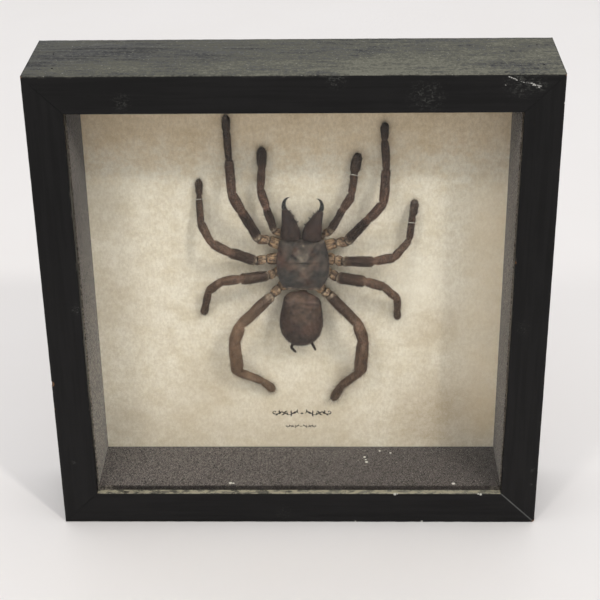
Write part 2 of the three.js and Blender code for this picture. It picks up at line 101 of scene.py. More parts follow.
def put(tree, kind, inputs=None, **settings):
    """Adds a node. An input goes by its name or number, and gets a value or another output."""
    node = tree.nodes.new(kind)
    for name, value in settings.items():
        setattr(node, name, value)
    for key, value in (inputs or {}).items():
        value = value.socket if isinstance(value, Field) else value
        if isinstance(value, bpy.types.NodeSocket):
            tree.links.new(value, node.inputs[key])
        else:
            node.inputs[key].default_value = value
    return node


def output(tree, kind, inputs=None, which=0, **settings):
    """Adds a node, and gives one of its outputs."""
    return Field(tree, put(tree, kind, inputs, **settings).outputs[which])


def worked_out(operation, *terms):
    tree = next(term.tree for term in terms if isinstance(term, Field))
    return output(tree, "ShaderNodeMath", dict(enumerate(terms)), operation=operation)


def larger(first, second):
    return worked_out("MAXIMUM", first, second)


def tint(code):
    """The colour that a paint chart writes as six hex digits."""
    channels = [int(code[i:i + 2], 16) / 255 for i in (0, 2, 4)]
    return (*(c / 12.92 if c <= 0.04045 else ((c + 0.055) / 1.055) ** 2.4 for c in channels), 1)


def new_finish(name, **shader_inputs):
    """A material with one shader, whose inputs are named with _ for a space."""
    finish = bpy.data.materials.new(name)
    finish.use_nodes = True
    tree = finish.node_tree
    tree.nodes.clear()
    inputs = {key.replace("_", " "): value for key, value in shader_inputs.items()}
    shader = put(tree, "ShaderNodeBsdfPrincipled", inputs)
    put(tree, "ShaderNodeOutputMaterial", {"Surface": shader.outputs[0]})
    return finish, tree, shader


def feed(shader, **fields):
    """Joins outputs to a shader's inputs, named with _ for a space."""
    for key, field in fields.items():
        field.tree.links.new(field.socket, shader.inputs[key.replace("_", " ")])


def object_place(tree, stretch=(1, 1, 1)):
    """The place on the object in metres, with the pattern's scale along each axis."""
    place = output(tree, "ShaderNodeTexCoord", which="Object")
    return output(tree, "ShaderNodeMapping", {"Vector": place, "Scale": stretch})


def axes(vector):
    """The x, y and z of a place or a direction."""
    split = put(vector.tree, "ShaderNodeSeparateXYZ", {0: vector})
    return [Field(vector.tree, axis) for axis in split.outputs]


def facing_up(tree):
    """How far a face looks up, from -1 to 1."""
    return axes(output(tree, "ShaderNodeNewGeometry", which="Normal"))[2]


def mottle(place, scale, detail=4.0, roughness=0.55):
    """Cloudy noise from 0 to 1, with its scale in clouds per unit of place."""
    inputs = {"Vector": place, "Scale": scale, "Detail": detail, "Roughness": roughness}
    return output(place.tree, "ShaderNodeTexNoise", inputs)


def ease(value, low, high, start=0.0, end=1.0):
    """Goes smoothly from start, at low, to end, at high."""
    inputs = {0: value, 1: low, 2: high, 3: start, 4: end}
    return output(value.tree, "ShaderNodeMapRange", inputs, interpolation_type="SMOOTHSTEP")


def blend(share, first, second):
    """A colour between two others, each a field, a colour or the hex code of one."""
    first, second = (tint(colour) if isinstance(colour, str) else colour for colour in (first, second))
    inputs = {0: share, 6: first, 7: second}
    return output(share.tree, "ShaderNodeMix", inputs, 2, data_type="RGBA")


def relief(height, distance, strength=1.0, under=None):
    """Fine relief that stands as high as the distance, on the relief under it."""
    inputs = {"Height": height, "Distance": distance, "Strength": strength}
    if under is not None:
        inputs["Normal"] = under
    return output(height.tree, "ShaderNodeBump", inputs)


camera = bpy.data.objects.new("camera", bpy.data.cameras.new("camera"))
bpy.context.scene.collection.objects.link(camera)
camera.data.lens = LENS
camera.matrix_world = (
    Matrix.Translation(EYE)
    @ Matrix.Rotation(TURN_LEFT, 4, "Z")
    @ Matrix.Rotation(TILT, 4, "Y")
    @ Matrix.Rotation(math.pi / 2 - LOOK_DOWN, 4, "X")
)
bpy.context.scene.camera = camera
bpy.context.scene.view_settings.view_transform = "Standard"

floor_mesh = bpy.data.meshes.new("floor")
corners = [(-1, -1), (1, -1), (1, 1), (-1, 1)]
floor_mesh.from_pydata([(x * FLOOR_REACH, y * FLOOR_REACH, 0) for x, y in corners], [], [(0, 1, 2, 3)])
floor = bpy.data.objects.new("floor", floor_mesh)
bpy.context.scene.collection.objects.link(floor)
floor_finish, tree, shader = new_finish("pale_table", Roughness=0.6, Specular_IOR_Level=0.2)
clouds = mottle(object_place(tree), 9)
feed(shader, Base_Color=blend(clouds, "e9e5e2", "edeae8"))
floor_mesh.materials.append(floor_finish)


def soft_lamp(name, place, aim, size, watts, colour):
    lamp = bpy.data.lights.new(name, "AREA")
    lamp.shape = "DISK"
    lamp.size = size
    lamp.energy = watts
    lamp.color = colour
    holder = bpy.data.objects.new(name, lamp)
    bpy.context.scene.collection.objects.link(holder)
    holder.location = place
    holder.rotation_mode = "QUATERNION"
    holder.rotation_quaternion = (Vector(aim) - Vector(place)).to_track_quat("-Z", "Y")


AIM = (0, 0, 0.13)
soft_lamp("lamp_right", (0.87, -1.15, 1.5), AIM, 0.14, 8.6, (1.0, 0.97, 0.93))
soft_lamp("lamp_left", (-0.6, -1.15, 1.5), AIM, 0.22, 4.4, (1.0, 0.97, 0.94))
world = bpy.data.worlds.new("pale_room")
world.use_nodes = True
world.node_tree.nodes["Background"].inputs["Color"].default_value = (0.98, 0.985, 1.0, 1)
world.node_tree.nodes["Background"].inputs["Strength"].default_value = 0.92
bpy.context.scene.world = world

# ---------------------------------------------------------------- rails
# Four soft-wood rails, milled with a thin lip and a deep rabbet, mitred, glued and nailed at
# the corners, and brushed with a thin black paint. Their arrises are worn, their corners are
# chipped to the bare wood, and dust lies on what faces up.
FIT_GAP = 0.3 * MM
OUTER_ROUND = 0.8 * MM
SIGHT_ROUND = 0.4 * MM
STATION_STEP = 2.2 * MM
SECTION_STEP = 3.0 * MM
MITRE_GAP = 0.03 * MM
WAVE_DEPTH, WAVE_SCALE = 0.07 * MM, 45
WEAR_DEPTH, WEAR_SCALE = 0.22 * MM, 160
frame_half = cad_box[1].x
depth_half = cad_box[1].y
face_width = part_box("rail_bottom")[1].z
sight_half = frame_half - face_width
rabbet_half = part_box("glass_pane")[1].x + FIT_GAP
lip_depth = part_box("glass_pane")[0].y + depth_half - FIT_GAP
SIDES = ("bottom", "left", "top", "right")

# Nail holes in the top and bottom rails, and chips at the arrises: x, y, z and radius in mm.
NAIL_HOLES = [(-112, -14.9, 250), (-114.7, 5.7, 250), (116.2, 15.3, 250), (116, -12.7, 250),
              (-114, -13, 0), (-114, 12, 0), (114, -13, 0), (114, 12, 0)]
NAIL_RADIUS = 0.55 * MM
NAIL_DEPTH = 2.6 * MM
CHIPS = [(-125.2, -26.3, 86, 1.5), (-125.2, -26.6, 71, 0.8), (125.3, -26.7, -0.2, 1.9),
         (125.2, -26.8, 249.6, 0.9), (106.3, -26.8, 154.3, 0.8), (-125.3, -26.6, 250, 1.0),
         (124.9, -26.9, 203, 0.7), (20.5, -26.9, 250.4, 0.8), (-41, -26.9, 250.4, 0.7)]
# Where the paint is scuffed pale: x, y, z, radius in mm, and how strongly.
SCUFFS = [(61.5, -26.5, 239.5, 8.5, 0.55), (104.5, -26.5, 246.5, 8, 0.85), (113, -26.5, 245, 4, 0.8),
          (-79, -26.5, 237.5, 5, 0.45), (-104, -26.5, 193, 3, 0.5), (-108, -26.5, 129, 3.2, 0.8),
          (-117.3, -26.5, 38.6, 1.4, 0.8), (122.3, -26.5, 33.6, 1.5, 0.7), (121.9, -26.5, 24.2, 1.3, 0.8),
          (20, -26.5, 248.5, 5, 0.7), (-8, -26.5, 6, 5, 0.25), (112, -26.5, 118, 4, 0.3)]
# Scratches on the face: the x and z of both ends, and the half width, in mm.
SCRATCHES = [((98.4, 249), (101.8, 247.7), 0.35), ((101, 247.6), (102.6, 247.2), 0.3),
             ((103.9, 246.8), (106.4, 245.9), 0.3), ((106.9, 246.2), (110.6, 245.4), 0.4),
             ((109.4, 245), (113.6, 244.4), 0.5), ((112, 243.9), (113, 243.6), 0.4),
             ((97, 245.1), (97.6, 244.8), 0.4)]
# Pale flecks at the arrises: x, y, z and radius in mm.
FLECKS = [(50.7, -26.4, 18.2, 0.7), (95.8, -26.4, 18.1, 0.6), (65.3, -26.4, 0.6, 0.6),
          (30, -26.4, 0.5, 0.5), (94.5, -26.4, 18.4, 0.4), (52, -26.4, 18.5, 0.4),
          (124.9, -26, 236, 0.5)]
SCRATCH_FADE = 0.4
# Where each kind of wear starts and where it is full.
ARRIS_WEAR = (1.2 * MM, 0.35 * MM)
SIGHT_WEAR = (0.8 * MM, 0.2 * MM)
AT_FRONT = (-20 * MM, -24 * MM)
ON_LEDGE = (60 * MM, 40 * MM)
SEAM_WIDTH = (0.6 * MM, 0.1 * MM)
CRACK_WIDTH = (0.7 * MM, 0.3 * MM)
CRACK_TOP = (19 * MM, 18 * MM)


def side_turn(side):
    """Turns the bottom of the frame to one of its sides."""
    middle = Matrix.Translation((0, 0, frame_half))
    return middle @ Matrix.Rotation(SIDES.index(side) * math.pi / 2, 4, "Y")


def arc(middle, radius, start, end, steps):
    angles = [math.radians(start + (end - start) * i / steps) for i in range(steps + 1)]
    return [(middle[0] + radius * math.cos(a), middle[1] + radius * math.sin(a)) for a in angles]


def with_steps(points, step):
    """The same outline, with its long straight stretches cut up."""
    filled = []
    for here, there in zip(points, points[1:] + points[:1]):
        count = max(1, round(math.dist(here, there) / step))
        filled += [tuple(np.add(here, np.subtract(there, here) * i / count)) for i in range(count)]
    return filled


def rail_section():
    """A rail's outline: how far inward from its outside, and how far behind its face."""
    wall, back = frame_half - rabbet_half, 2 * depth_half
    outline = [(0, back)]
    outline += arc((OUTER_ROUND, OUTER_ROUND), OUTER_ROUND, 180, 270, 6)
    outline += arc((face_width - SIGHT_ROUND, SIGHT_ROUND), SIGHT_ROUND, -90, 0, 4)
    outline += [(face_width, lip_depth), (wall, lip_depth), (wall, back)]
    return with_steps(outline, SECTION_STEP)


def new_piece(name, mesh, *finishes):
    """A piece at the origin, with its place in its mesh."""
    piece = bpy.data.objects.new(name, mesh)
    bpy.context.scene.collection.objects.link(piece)
    for finish in finishes:
        mesh.materials.append(finish)
    return piece


def as_built(piece):
    """Turns what a piece's modifiers make into its own mesh, and takes them off."""
    bpy.context.view_layer.update()
    evaluated = piece.evaluated_get(bpy.context.evaluated_depsgraph_get())
    mesh = bpy.data.meshes.new_from_object(evaluated)
    finishes = list(piece.data.materials)
    piece.modifiers.clear()
    piece.data = mesh
    if not mesh.materials:
        for finish in finishes:
            mesh.materials.append(finish)


def smooth_up_to(mesh, degrees):
    mesh.shade_smooth()
    mesh.set_sharp_from_angle(angle=math.radians(degrees))


def rail_mesh(side):
    section = rail_section()
    inside = Vector((face_width / 2, 2 * depth_half / 3))
    turn = side_turn(side)
    count = round(2 * frame_half / STATION_STEP)
    work = bmesh.new()
    rings = []
    for i in range(count + 1):
        ring = []
        for inward, back in section:
            along = (2 * i / count - 1) * (frame_half - inward - MITRE_GAP)
            spot = turn @ Vector((along, back - depth_half, inward - frame_half))
            corner = max(0, 1 - (inward + min(back, 2 * depth_half - back)) / (2 * OUTER_ROUND))
            depth = WAVE_DEPTH * (0.5 + 0.5 * noise.noise(spot * WAVE_SCALE))
            depth += corner * WEAR_DEPTH * max(0, 0.3 + noise.fractal(spot * WEAR_SCALE, 0.8, 2.2, 3))
            if inward < 0.9 * face_width or back < lip_depth:
                push = (inside - Vector((inward, back))).normalized() * depth
                spot = turn @ Vector((along, back + push.y - depth_half, inward + push.x - frame_half))
            ring.append(work.verts.new(spot))
        rings.append(ring)
    for here, there in zip(rings, rings[1:]):
        for k in range(len(section)):
            j = (k + 1) % len(section)
            work.faces.new((here[k], here[j], there[j], there[k]))
    work.faces.new(rings[0][::-1])
    work.faces.new(rings[-1])
    bmesh.ops.recalc_face_normals(work, faces=work.faces)
    mesh = bpy.data.meshes.new(f"rail_{side}")
    work.to_mesh(mesh)
    work.free()
    return mesh


def rail_cutters(side):
    """What is taken out of a rail: its nail holes, its chips and the slots of its points."""
    low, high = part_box(f"rail_{side}")
    work = bmesh.new()
    for index, (x, y, z, radius) in enumerate(CHIPS):
        spot = Vector((x, y, z)) * MM
        if all(low[k] - 2 * MM < spot[k] < high[k] + 2 * MM for k in range(3)):
            made = bmesh.ops.create_icosphere(work, subdivisions=2, radius=radius * MM)
            for vert in made["verts"]:
                rough = noise.noise(vert.co * 900 + Vector((index * 7.3, 0, 0)))
                vert.co = vert.co * (1 + 0.35 * rough) + spot
    for x, y, z in NAIL_HOLES:
        if side == ("top" if z > 0 else "bottom"):
            place = Matrix.Translation(Vector((x, y, z)) * MM)
            bmesh.ops.create_cone(work, cap_ends=True, segments=14, radius1=NAIL_RADIUS,
                                  radius2=0.9 * NAIL_RADIUS, depth=NAIL_DEPTH, matrix=place)
    for index in (1, 2):
        tab_low, tab_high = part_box(f"point_{side}_{index}")
        middle = (tab_low + tab_high) / 2
        size = tab_high - tab_low + Vector((1, 1, 1)) * FIT_GAP
        bmesh.ops.create_cube(work, matrix=Matrix.LocRotScale(middle, None, size))
    mesh = bpy.data.meshes.new("cutters")
    work.to_mesh(mesh)
    work.free()
    return mesh


def scratch(split, ends, width, breaks):
    """1 along a straight scratch on the face from one x and z to another, in mm, broken up."""
    (x, z), (end_x, end_z) = ends
    length = math.hypot(end_x - x, end_z - z)
    ux, uz = (end_x - x) / length, (end_z - z) / length
    dx = split[0] - x * MM
    dz = split[2] - z * MM
    along = dx * ux + dz * uz
    aside = dx * -uz + dz * ux
    thin = ease(abs(aside), width * MM, width * 0.3 * MM)
    past = abs(along - length / 2 * MM)
    inside = ease(past, (length / 2 + SCRATCH_FADE) * MM, (length / 2 - SCRATCH_FADE) * MM)
    return thin * inside * breaks


def near(place, spot, radius, edge=0.35):
    """1 inside a round spot and 0 outside it, in millimetres, with a soft edge."""
    inputs = {0: place, 1: Vector(spot) * MM}
    away = output(place.tree, "ShaderNodeVectorMath", inputs, "Value", operation="DISTANCE")
    return ease(away, radius * (1 + edge) * MM, radius * (1 - edge) * MM)


def dusted(tree, place, colour, fine):
    """Dust on what faces up: wiped and drifted, with streaks and motes, and thick on the ledge."""
    x, y, z = axes(place)
    upward = ease(facing_up(tree), 0.55, 0.95)
    drift = ease(mottle(object_place(tree, (22, 60, 22)), 1, 6, 0.68), 0.34, 0.66)
    grit = ease(mottle(place, 460, 5, 0.75), 0.42, 0.62)
    wiped = ease(mottle(object_place(tree, (75, 420, 1)), 1, 5, 0.7), 0.36, 0.66)
    more_right = ease(x, -120 * MM, 120 * MM, 0.82, 1.6)
    more_in_front = ease(y, 15 * MM, -25 * MM, 0.85, 1.35)
    dust = wiped * 0.24 + (drift * 0.5 + (grit * 0.42 - 0.16))
    settled = dust * more_right * more_in_front * upward
    colour = blend(settled, colour, "6c6b60")
    streaks = ease(mottle(object_place(tree, (260, 1500, 1)), 1, 3, 0.75), 0.62, 0.7)
    streaks = streaks * ease(mottle(place, 30, 3), 0.48, 0.62)
    colour = blend(streaks * 0.6 * upward, colour, "b0afa2")
    colour = blend(ease(fine, 0.63, 0.7) * upward * 0.6, colour, "a3a398")
    patches = mottle(object_place(tree, (230, 420, 420)), 1, 5, 0.75)
    ledge = upward * ease(z, *ON_LEDGE) * ease(patches, 0.42, 0.58, 0.05, 1.0)
    return blend(ledge, colour, "9f9984"), settled


def marked(tree, place, colour):
    """The scuffs, flecks and scratches of the face."""
    split = axes(place)
    flecks = ease(mottle(place, 650, 4, 0.8), 0.53, 0.66)
    lines = ease(mottle(object_place(tree, (300, 300, 1500)), 1, 3, 0.7), 0.52, 0.66)
    marks = larger(flecks, lines * 0.6)
    for x, y, z, radius, strength in SCUFFS:
        spot = near(place, (x, y, z), radius * 0.7, 0.95)
        colour = blend(spot * marks * (strength * 0.75), colour, "5c5d58")
    for x, y, z, radius in FLECKS:
        colour = blend(near(place, (x, y, z), radius), colour, "bcbab2")
    broken = ease(mottle(place, 1100, 3, 0.8), 0.46, 0.54) * ease(split[1], *AT_FRONT)
    for *ends, width in SCRATCHES:
        colour = blend(scratch(split, ends, width, broken) * 0.85, colour, "b9b8b2")
    return colour


def black_paint(name, grain):
    """Thin black paint over wood whose grain is stretched as told along x, y and z."""
    finish, tree, shader = new_finish(name, Specular_IOR_Level=0.14)
    place = object_place(tree)
    x, y, z = axes(place)
    fine = mottle(place, 900, 3, 0.6)
    cloud = mottle(place, 55, 5, 0.6)
    pores = mottle(object_place(tree, grain), 1, 6, 0.62)
    brushed = ease(pores, 0.4, 0.62)
    low_down = ease(z, 2 * frame_half - 2 * face_width, face_width, 0.05, 0.3)
    colour = blend(brushed * 0.32 + (cloud * 0.4 + low_down), "040404", "1a1919")

    # The arrises outside and at the glass are worn.
    out_x, out_z = abs(x), abs(z - frame_half)
    outward = larger(out_x, out_z)
    from_face = depth_half - abs(y)
    arris = ease(from_face + (frame_half - outward), *ARRIS_WEAR)
    sight = ease(from_face + (outward - sight_half), *SIGHT_WEAR)
    worn = larger(arris, sight) * ease(mottle(place, 210, 4, 0.7), 0.54, 0.66)
    colour = blend(worn * 0.5, colour, "4c4a44")
    colour, settled = dusted(tree, place, colour, fine)
    colour = marked(tree, place, colour)

    # The mitres show as a dark seam. The lower right one is cracked.
    seam = ease(abs(out_x - out_z), *SEAM_WIDTH) * ease(cloud, 0.4, 0.55)
    colour = blend(seam * 0.7, colour, "030303")
    cracked = ease(abs(frame_half - x - z), *CRACK_WIDTH) * ease(z, *CRACK_TOP) * ease(y, *AT_FRONT)
    colour = blend(cracked * ease(cloud, 0.3, 0.6, 0.4, 0.9), colour, "565755")

    # The chips go down to the bare wood.
    wood = blend(pores, "46301f", "73553c")
    bare = functools.reduce(larger, [near(place, spot, radius * 1.15, 0.12) for *spot, radius in CHIPS])
    rough = larger(brushed * 0.2 + 0.36, settled * 1.3)
    bump = relief(fine, 0.08 * MM, 0.8, relief(pores, 0.18 * MM, 0.8))
    feed(shader, Base_Color=blend(bare, colour, wood), Roughness=rough, Normal=bump)
    return finish


flat_paint = black_paint("black_paint_level", (18, 420, 420))
upright_paint = black_paint("black_paint_upright", (420, 420, 18))
for side in SIDES:
    rail = new_piece(f"painted_rail_{side}", rail_mesh(side),
                     flat_paint if side in ("bottom", "top") else upright_paint)
    cutter = new_piece("cutters", rail_cutters(side))
    cutting = rail.modifiers.new("cut", "BOOLEAN")
    cutting.object = cutter
    cutting.solver = "EXACT"
    as_built(rail)
    bpy.data.objects.remove(cutter)
    smooth_up_to(rail.data, 32)
    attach(rail, "root")
    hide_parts(f"rail_{side}")

# ---------------------------------------------------------------- glass pane
# One pane of float glass, laid into the rabbet against the lip. It is clear, a little green
# at its cut edges, and carries a breath of dust and a few specks.
glass_finish, tree, shader = new_finish(
    "float_glass", Base_Color=(0.99, 1.0, 0.99, 1), Roughness=0.0, IOR=1.2, Transmission_Weight=1.0)
place = object_place(tree)
specks = ease(mottle(place, 520, 2, 0.8), 0.745, 0.78)
low_down = ease(axes(place)[2], 60 * MM, 18 * MM, 0.3, 1)
film = specks * low_down * 0.4 + 0.002
dust = output(tree, "ShaderNodeBsdfPrincipled", {"Base Color": tint("c9c6bb"), "Roughness": 0.9})
clear = output(tree, "ShaderNodeBsdfTransparent", {"Color": (0.975, 0.975, 0.965, 1)})
is_shadow = output(tree, "ShaderNodeLightPath", which="Is Shadow Ray")
dusty = output(tree, "ShaderNodeMixShader", {0: film, 1: shader.outputs[0], 2: dust})
lit = output(tree, "ShaderNodeMixShader", {0: is_shadow, 1: dusty, 2: clear})
tree.links.new(lit.socket, tree.nodes["Material Output"].inputs["Surface"])
nodes["glass_pane"].data.materials.clear()
nodes["glass_pane"].data.materials.append(glass_finish)

# ---------------------------------------------------------------- liners
# Four strips of board covered with grey-black flock, which keep the sheet away from the glass.
# The top and bottom strips run the full width, and the side strips stand between them. Dust and lint have
# fallen on the bottom one, and the side strips carry pale lint that is partly painted light.
STRIP_ROUND = 0.45 * MM
MERGE_DISTANCE = 0.001 * MM
# Motes of lint on the bottom strip: x, y, z and radius in mm.
MOTES = [(82.1, -16.6, 18.5, 0.9), (-36.6, -16.2, 18.5, 0.9), (-35, -16.4, 18.5, 0.6),
         (36.4, 3.8, 18.5, 0.8), (36, 6, 18.5, 0.5), (35.4, 8.6, 18.5, 0.7), (49.7, 12.6, 18.5, 0.6),
         (43.8, 14.6, 18.5, 0.6)]
CRUMB_SIZE = 0.19 * MM
CRUMBS_PER_M2 = 3.2e5
FULL_TURN = 6.28


def softened_mesh(node_name, width, segments=3):
    """A CAD node's mesh, closed up, with its sharp edges rounded to a width."""
    work = bmesh.new()
    work.from_mesh(nodes[node_name].data)
    bmesh.ops.remove_doubles(work, verts=work.verts, dist=MERGE_DISTANCE)
    bmesh.ops.dissolve_limit(work, angle_limit=0.01, verts=work.verts, edges=work.edges)
    sharp = [e for e in work.edges if len(e.link_faces) == 2 and e.calc_face_angle() > 0.6]
    bmesh.ops.bevel(work, geom=sharp, offset=width, segments=segments, profile=0.5,
                    affect="EDGES", clamp_overlap=True)
    mesh = bpy.data.meshes.new(node_name)
    work.to_mesh(mesh)
    work.free()
    smooth_up_to(mesh, 40)
    return mesh


def new_tree(name, inputs):
    """A geometry tree with a geometry in and out, and these named inputs."""
    tree = bpy.data.node_groups.new(name, "GeometryNodeTree")
    tree.interface.new_socket("Geometry", in_out="OUTPUT", socket_type="NodeSocketGeometry")
    tree.interface.new_socket("Geometry", in_out="INPUT", socket_type="NodeSocketGeometry")
    for label, kind in inputs.items():
        tree.interface.new_socket(label, in_out="INPUT", socket_type=f"NodeSocket{kind}")
    given = put(tree, "NodeGroupInput").outputs
    return tree, {socket.name: Field(tree, socket) for socket in given if socket.name}


def grow(piece, tree, values):
    """Runs a geometry tree on a piece, with its inputs given by name."""
    growth = piece.modifiers.new(tree.name, "NODES")
    growth.node_group = tree
    keys = {item.name: item.identifier for item in tree.interface.items_tree
            if item.in_out == "INPUT"}
    for label, value in values.items():
        growth[keys[label]] = value
    as_built(piece)


def named(tree, label, kind="FLOAT"):
    inputs = {"Name": label}
    return output(tree, "GeometryNodeInputNamedAttribute", inputs, "Attribute", data_type=kind)


def random_value(tree, low, high, seed=0):
    """A number or a vector between two others, and another one at each point."""
    kind, first, which = ("FLOAT_VECTOR", 0, 0) if isinstance(low, tuple) else ("FLOAT", 2, 1)
    inputs = {first: low, first + 1: high, "Seed": seed}
    return output(tree, "FunctionNodeRandomValue", inputs, which, data_type=kind)


def dressed(tree, instances, finish):
    """Instances made real, with their finish on."""
    real = output(tree, "GeometryNodeRealizeInstances", {0: instances})
    return output(tree, "GeometryNodeSetMaterial", {"Geometry": real, "Material": finish})


def send_out(tree, *geometries):
    """Ends a geometry tree with all of these joined."""
    whole = put(tree, "GeometryNodeJoinGeometry")
    for geometry in geometries:
        tree.links.new(geometry.socket, whole.inputs[0])
    put(tree, "NodeGroupOutput", {0: whole.outputs[0]})


def crumb_tree():
    """Scatters crumbs of dust on what faces up, and joins them to the piece."""
    tree, given = new_tree("dust_crumbs", {"Crumbs per m2": "Float", "Size": "Float",
                                           "Seed": "Int", "Crumb finish": "Material"})
    up = axes(output(tree, "GeometryNodeInputNormal"))[2]
    level = output(tree, "FunctionNodeCompare", {0: up, 1: 0.8}, operation="GREATER_THAN")
    spots = output(tree, "GeometryNodeDistributePointsOnFaces",
                   {"Mesh": given["Geometry"], "Selection": level,
                    "Density": given["Crumbs per m2"], "Seed": given["Seed"]})
    crumb = output(tree, "GeometryNodeMeshIcoSphere", {"Radius": given["Size"], "Subdivisions": 1})
    crumbs = output(tree, "GeometryNodeInstanceOnPoints",
                    {"Points": spots, "Instance": crumb,
                     "Rotation": random_value(tree, (0, 0, 0), (FULL_TURN, FULL_TURN, FULL_TURN)),
                     "Scale": random_value(tree, (0.25, 0.25, 0.2), (1.5, 1.5, 0.8))})
    send_out(tree, dressed(tree, crumbs, given["Crumb finish"]), given["Geometry"])
    return tree


flock, tree, shader = new_finish("grey_flock", Roughness=0.97, Specular_IOR_Level=0.1,
                                 Sheen_Weight=0.12, Sheen_Roughness=0.6)
place = object_place(tree)
nap = mottle(place, 1500, 3, 0.7)
blotch = ease(mottle(place, 260, 5, 0.65), 0.35, 0.68)
tufts = ease(mottle(place, 1000, 4, 0.75), 0.38, 0.62)
colour = blend(tufts * 0.7 + blotch * 0.3, "1e1a19", "48413e")
x, y, z = axes(place)
up = facing_up(tree)
grains = mottle(object_place(tree, (1150, 650, 1150)), 1, 3, 0.75)
fallen = ease(up, 0.4, 0.95) * ease(grains, 0.42, 0.6, 0.0, 0.6) * ease(x, -95 * MM, 95 * MM, 1.3, 0.6)
colour = blend(fallen, colour, "726a66")
# Pale lint on the side strips, partly painted light: the left strip grows paler towards its bottom, and the
# right strip is paled along its whole length.
left_lint_and_light = ease(x, -98 * MM, -102 * MM) * ease(z, 190 * MM, 50 * MM, 0.3, 1.0)
right_lint_and_light = ease(x, 100 * MM, 103 * MM, 0.0, 0.75)
lint_and_painted_light = larger(left_lint_and_light, right_lint_and_light) * ease(up, 0.7, 0.3) * ease(tufts, 0.2, 0.8, 0.2, 1.0)
colour = blend(lint_and_painted_light, colour, "8a8177")
fluff = ease(mottle(object_place(tree, (1300, 700, 700)), 1, 3, 0.8), 0.62, 0.68)
deep_in = ease(y, -8 * MM, 14 * MM, 0.3, 0.75)
colour = blend(fluff * deep_in, colour, "a39e97")
for x, y, z, radius in MOTES:
    colour = blend(near(place, (x, y, z), radius), colour, "cfccc4")
bump = relief(nap, 0.12 * MM, 0.8)
feed(shader, Base_Color=colour, Normal=relief(blotch, 0.2 * MM, 0.5, bump))

dust, tree, shader = new_finish("settled_dust", Roughness=0.95, Specular_IOR_Level=0.1)
cloud = mottle(object_place(tree), 500)
feed(shader, Base_Color=blend(cloud, "6b6561", "b5aea5"))

crumbs = crumb_tree()
for index, side in enumerate(SIDES):
    strip = new_piece(f"flock_strip_{side}", softened_mesh(f"liner_{side}", STRIP_ROUND), flock)
    if side == "bottom":
        grow(strip, crumbs, {"Crumbs per m2": CRUMBS_PER_M2, "Size": CRUMB_SIZE, "Seed": 3,
                             "Crumb finish": dust})
    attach(strip, "root")
    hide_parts(f"liner_{side}")

# ---------------------------------------------------------------- parchment sheet
# A square of stiff parchment paper behind the specimen: cream, clouded with beige, a little fibrous, and
# browner towards its top edge. Painted shade darkens it towards its bottom, its left and its lower right,
# and painted light pales its right edge.
SHEET_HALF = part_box("parchment_sheet")[1].x
# Painted shade and painted light on the sheet, each given as x, z, radius in mm, strength and tone: dark
# places towards the bottom, the left and the lower right, one at the edge of the right rail's shadow, and
# pale ones right of the middle and along the right edge.
SHEET_SHADE_AND_LIGHT = [(78, 38, 26, 0.42, "9c8360"), (74, 92, 14, 0.3, "b09a78"), (-47, 62, 14, 0.25, "a89372"),
          (-95, 110, 18, 0.15, "b5a283"), (0, 30, 34, 0.32, "b5a283"), (-60, 34, 24, 0.3, "b5a283"),
          (-103, 165, 14, 0.3, "a99b82"), (-98, 34, 14, 0.25, "a2937a"), (62, 118, 14, 0.4, "f2ead9"),
          (104, 40, 14, 0.4, "e6d0ab"), (104, 64, 17, 0.42, "f1ddbd"), (104, 88, 17, 0.42, "f1dfc1"),
          (104, 112, 17, 0.42, "f1dfc1"), (104, 137, 17, 0.42, "f1dfc1"), (104, 162, 15, 0.45, "f1ddbd")]
BROWNED_TOP = (72 * MM, 34 * MM)


def flat_place(split):
    """The place on the sheet with its depth left out."""
    return output(split[0].tree, "ShaderNodeCombineXYZ", {0: split[0], 2: split[2]})


parchment, tree, shader = new_finish("parchment", Roughness=0.85, Specular_IOR_Level=0.2)
place = object_place(tree)
clouds = ease(mottle(place, 78, 5, 0.62), 0.3, 0.7)
wisps = ease(mottle(object_place(tree, (130, 130, 190)), 1, 6, 0.7), 0.34, 0.66)
fibre = ease(mottle(object_place(tree, (900, 900, 520)), 1, 5, 0.75), 0.38, 0.62)
colour = blend(clouds, "dbcfb7", "e3d9c5")
colour = blend(wisps * 0.62, colour, "f1eadb")
colour = blend(fibre * 0.28, colour, "ad9b7e")
split = axes(place)
from_top = frame_half + SHEET_HALF - split[2]
ragged = wisps * (12 * MM) + from_top
browned = ease(ragged, *BROWNED_TOP)
edge_tone = blend(browned, (1, 1, 1, 1), (1.0, 0.89, 0.77, 1))
colour = output(tree, "ShaderNodeMix", {0: 1.0, 6: colour, 7: edge_tone}, 2, data_type="RGBA",
                blend_type="MULTIPLY")
# Each spot of painted shade or painted light is clouded a little.
for x, z, radius, strength, tone in SHEET_SHADE_AND_LIGHT:
    spot = near(flat_place(split), (x, 0, z), radius, 0.75)
    shade = spot * (clouds * -0.3 + 1.15)
    colour = blend(shade * strength, colour, tone)
bump = relief(fibre, 0.05 * MM, 0.6)
feed(shader, Base_Color=colour, Normal=relief(wisps, 0.05 * MM, 0.4, bump))
nodes["parchment_sheet"].data.materials.clear()
nodes["parchment_sheet"].data.materials.append(parchment)
sheet_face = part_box("parchment_sheet")[0].y

# ---------------------------------------------------------------- pen flourishes
# Under the spider, where a label would be, two small flourishes are drawn with a broad pen in
# black ink: a leafy stem on both sides of a lozenge, the lower one half as wide.
INK_THICKNESS = 0.04 * MM
STROKE_STEPS = 60
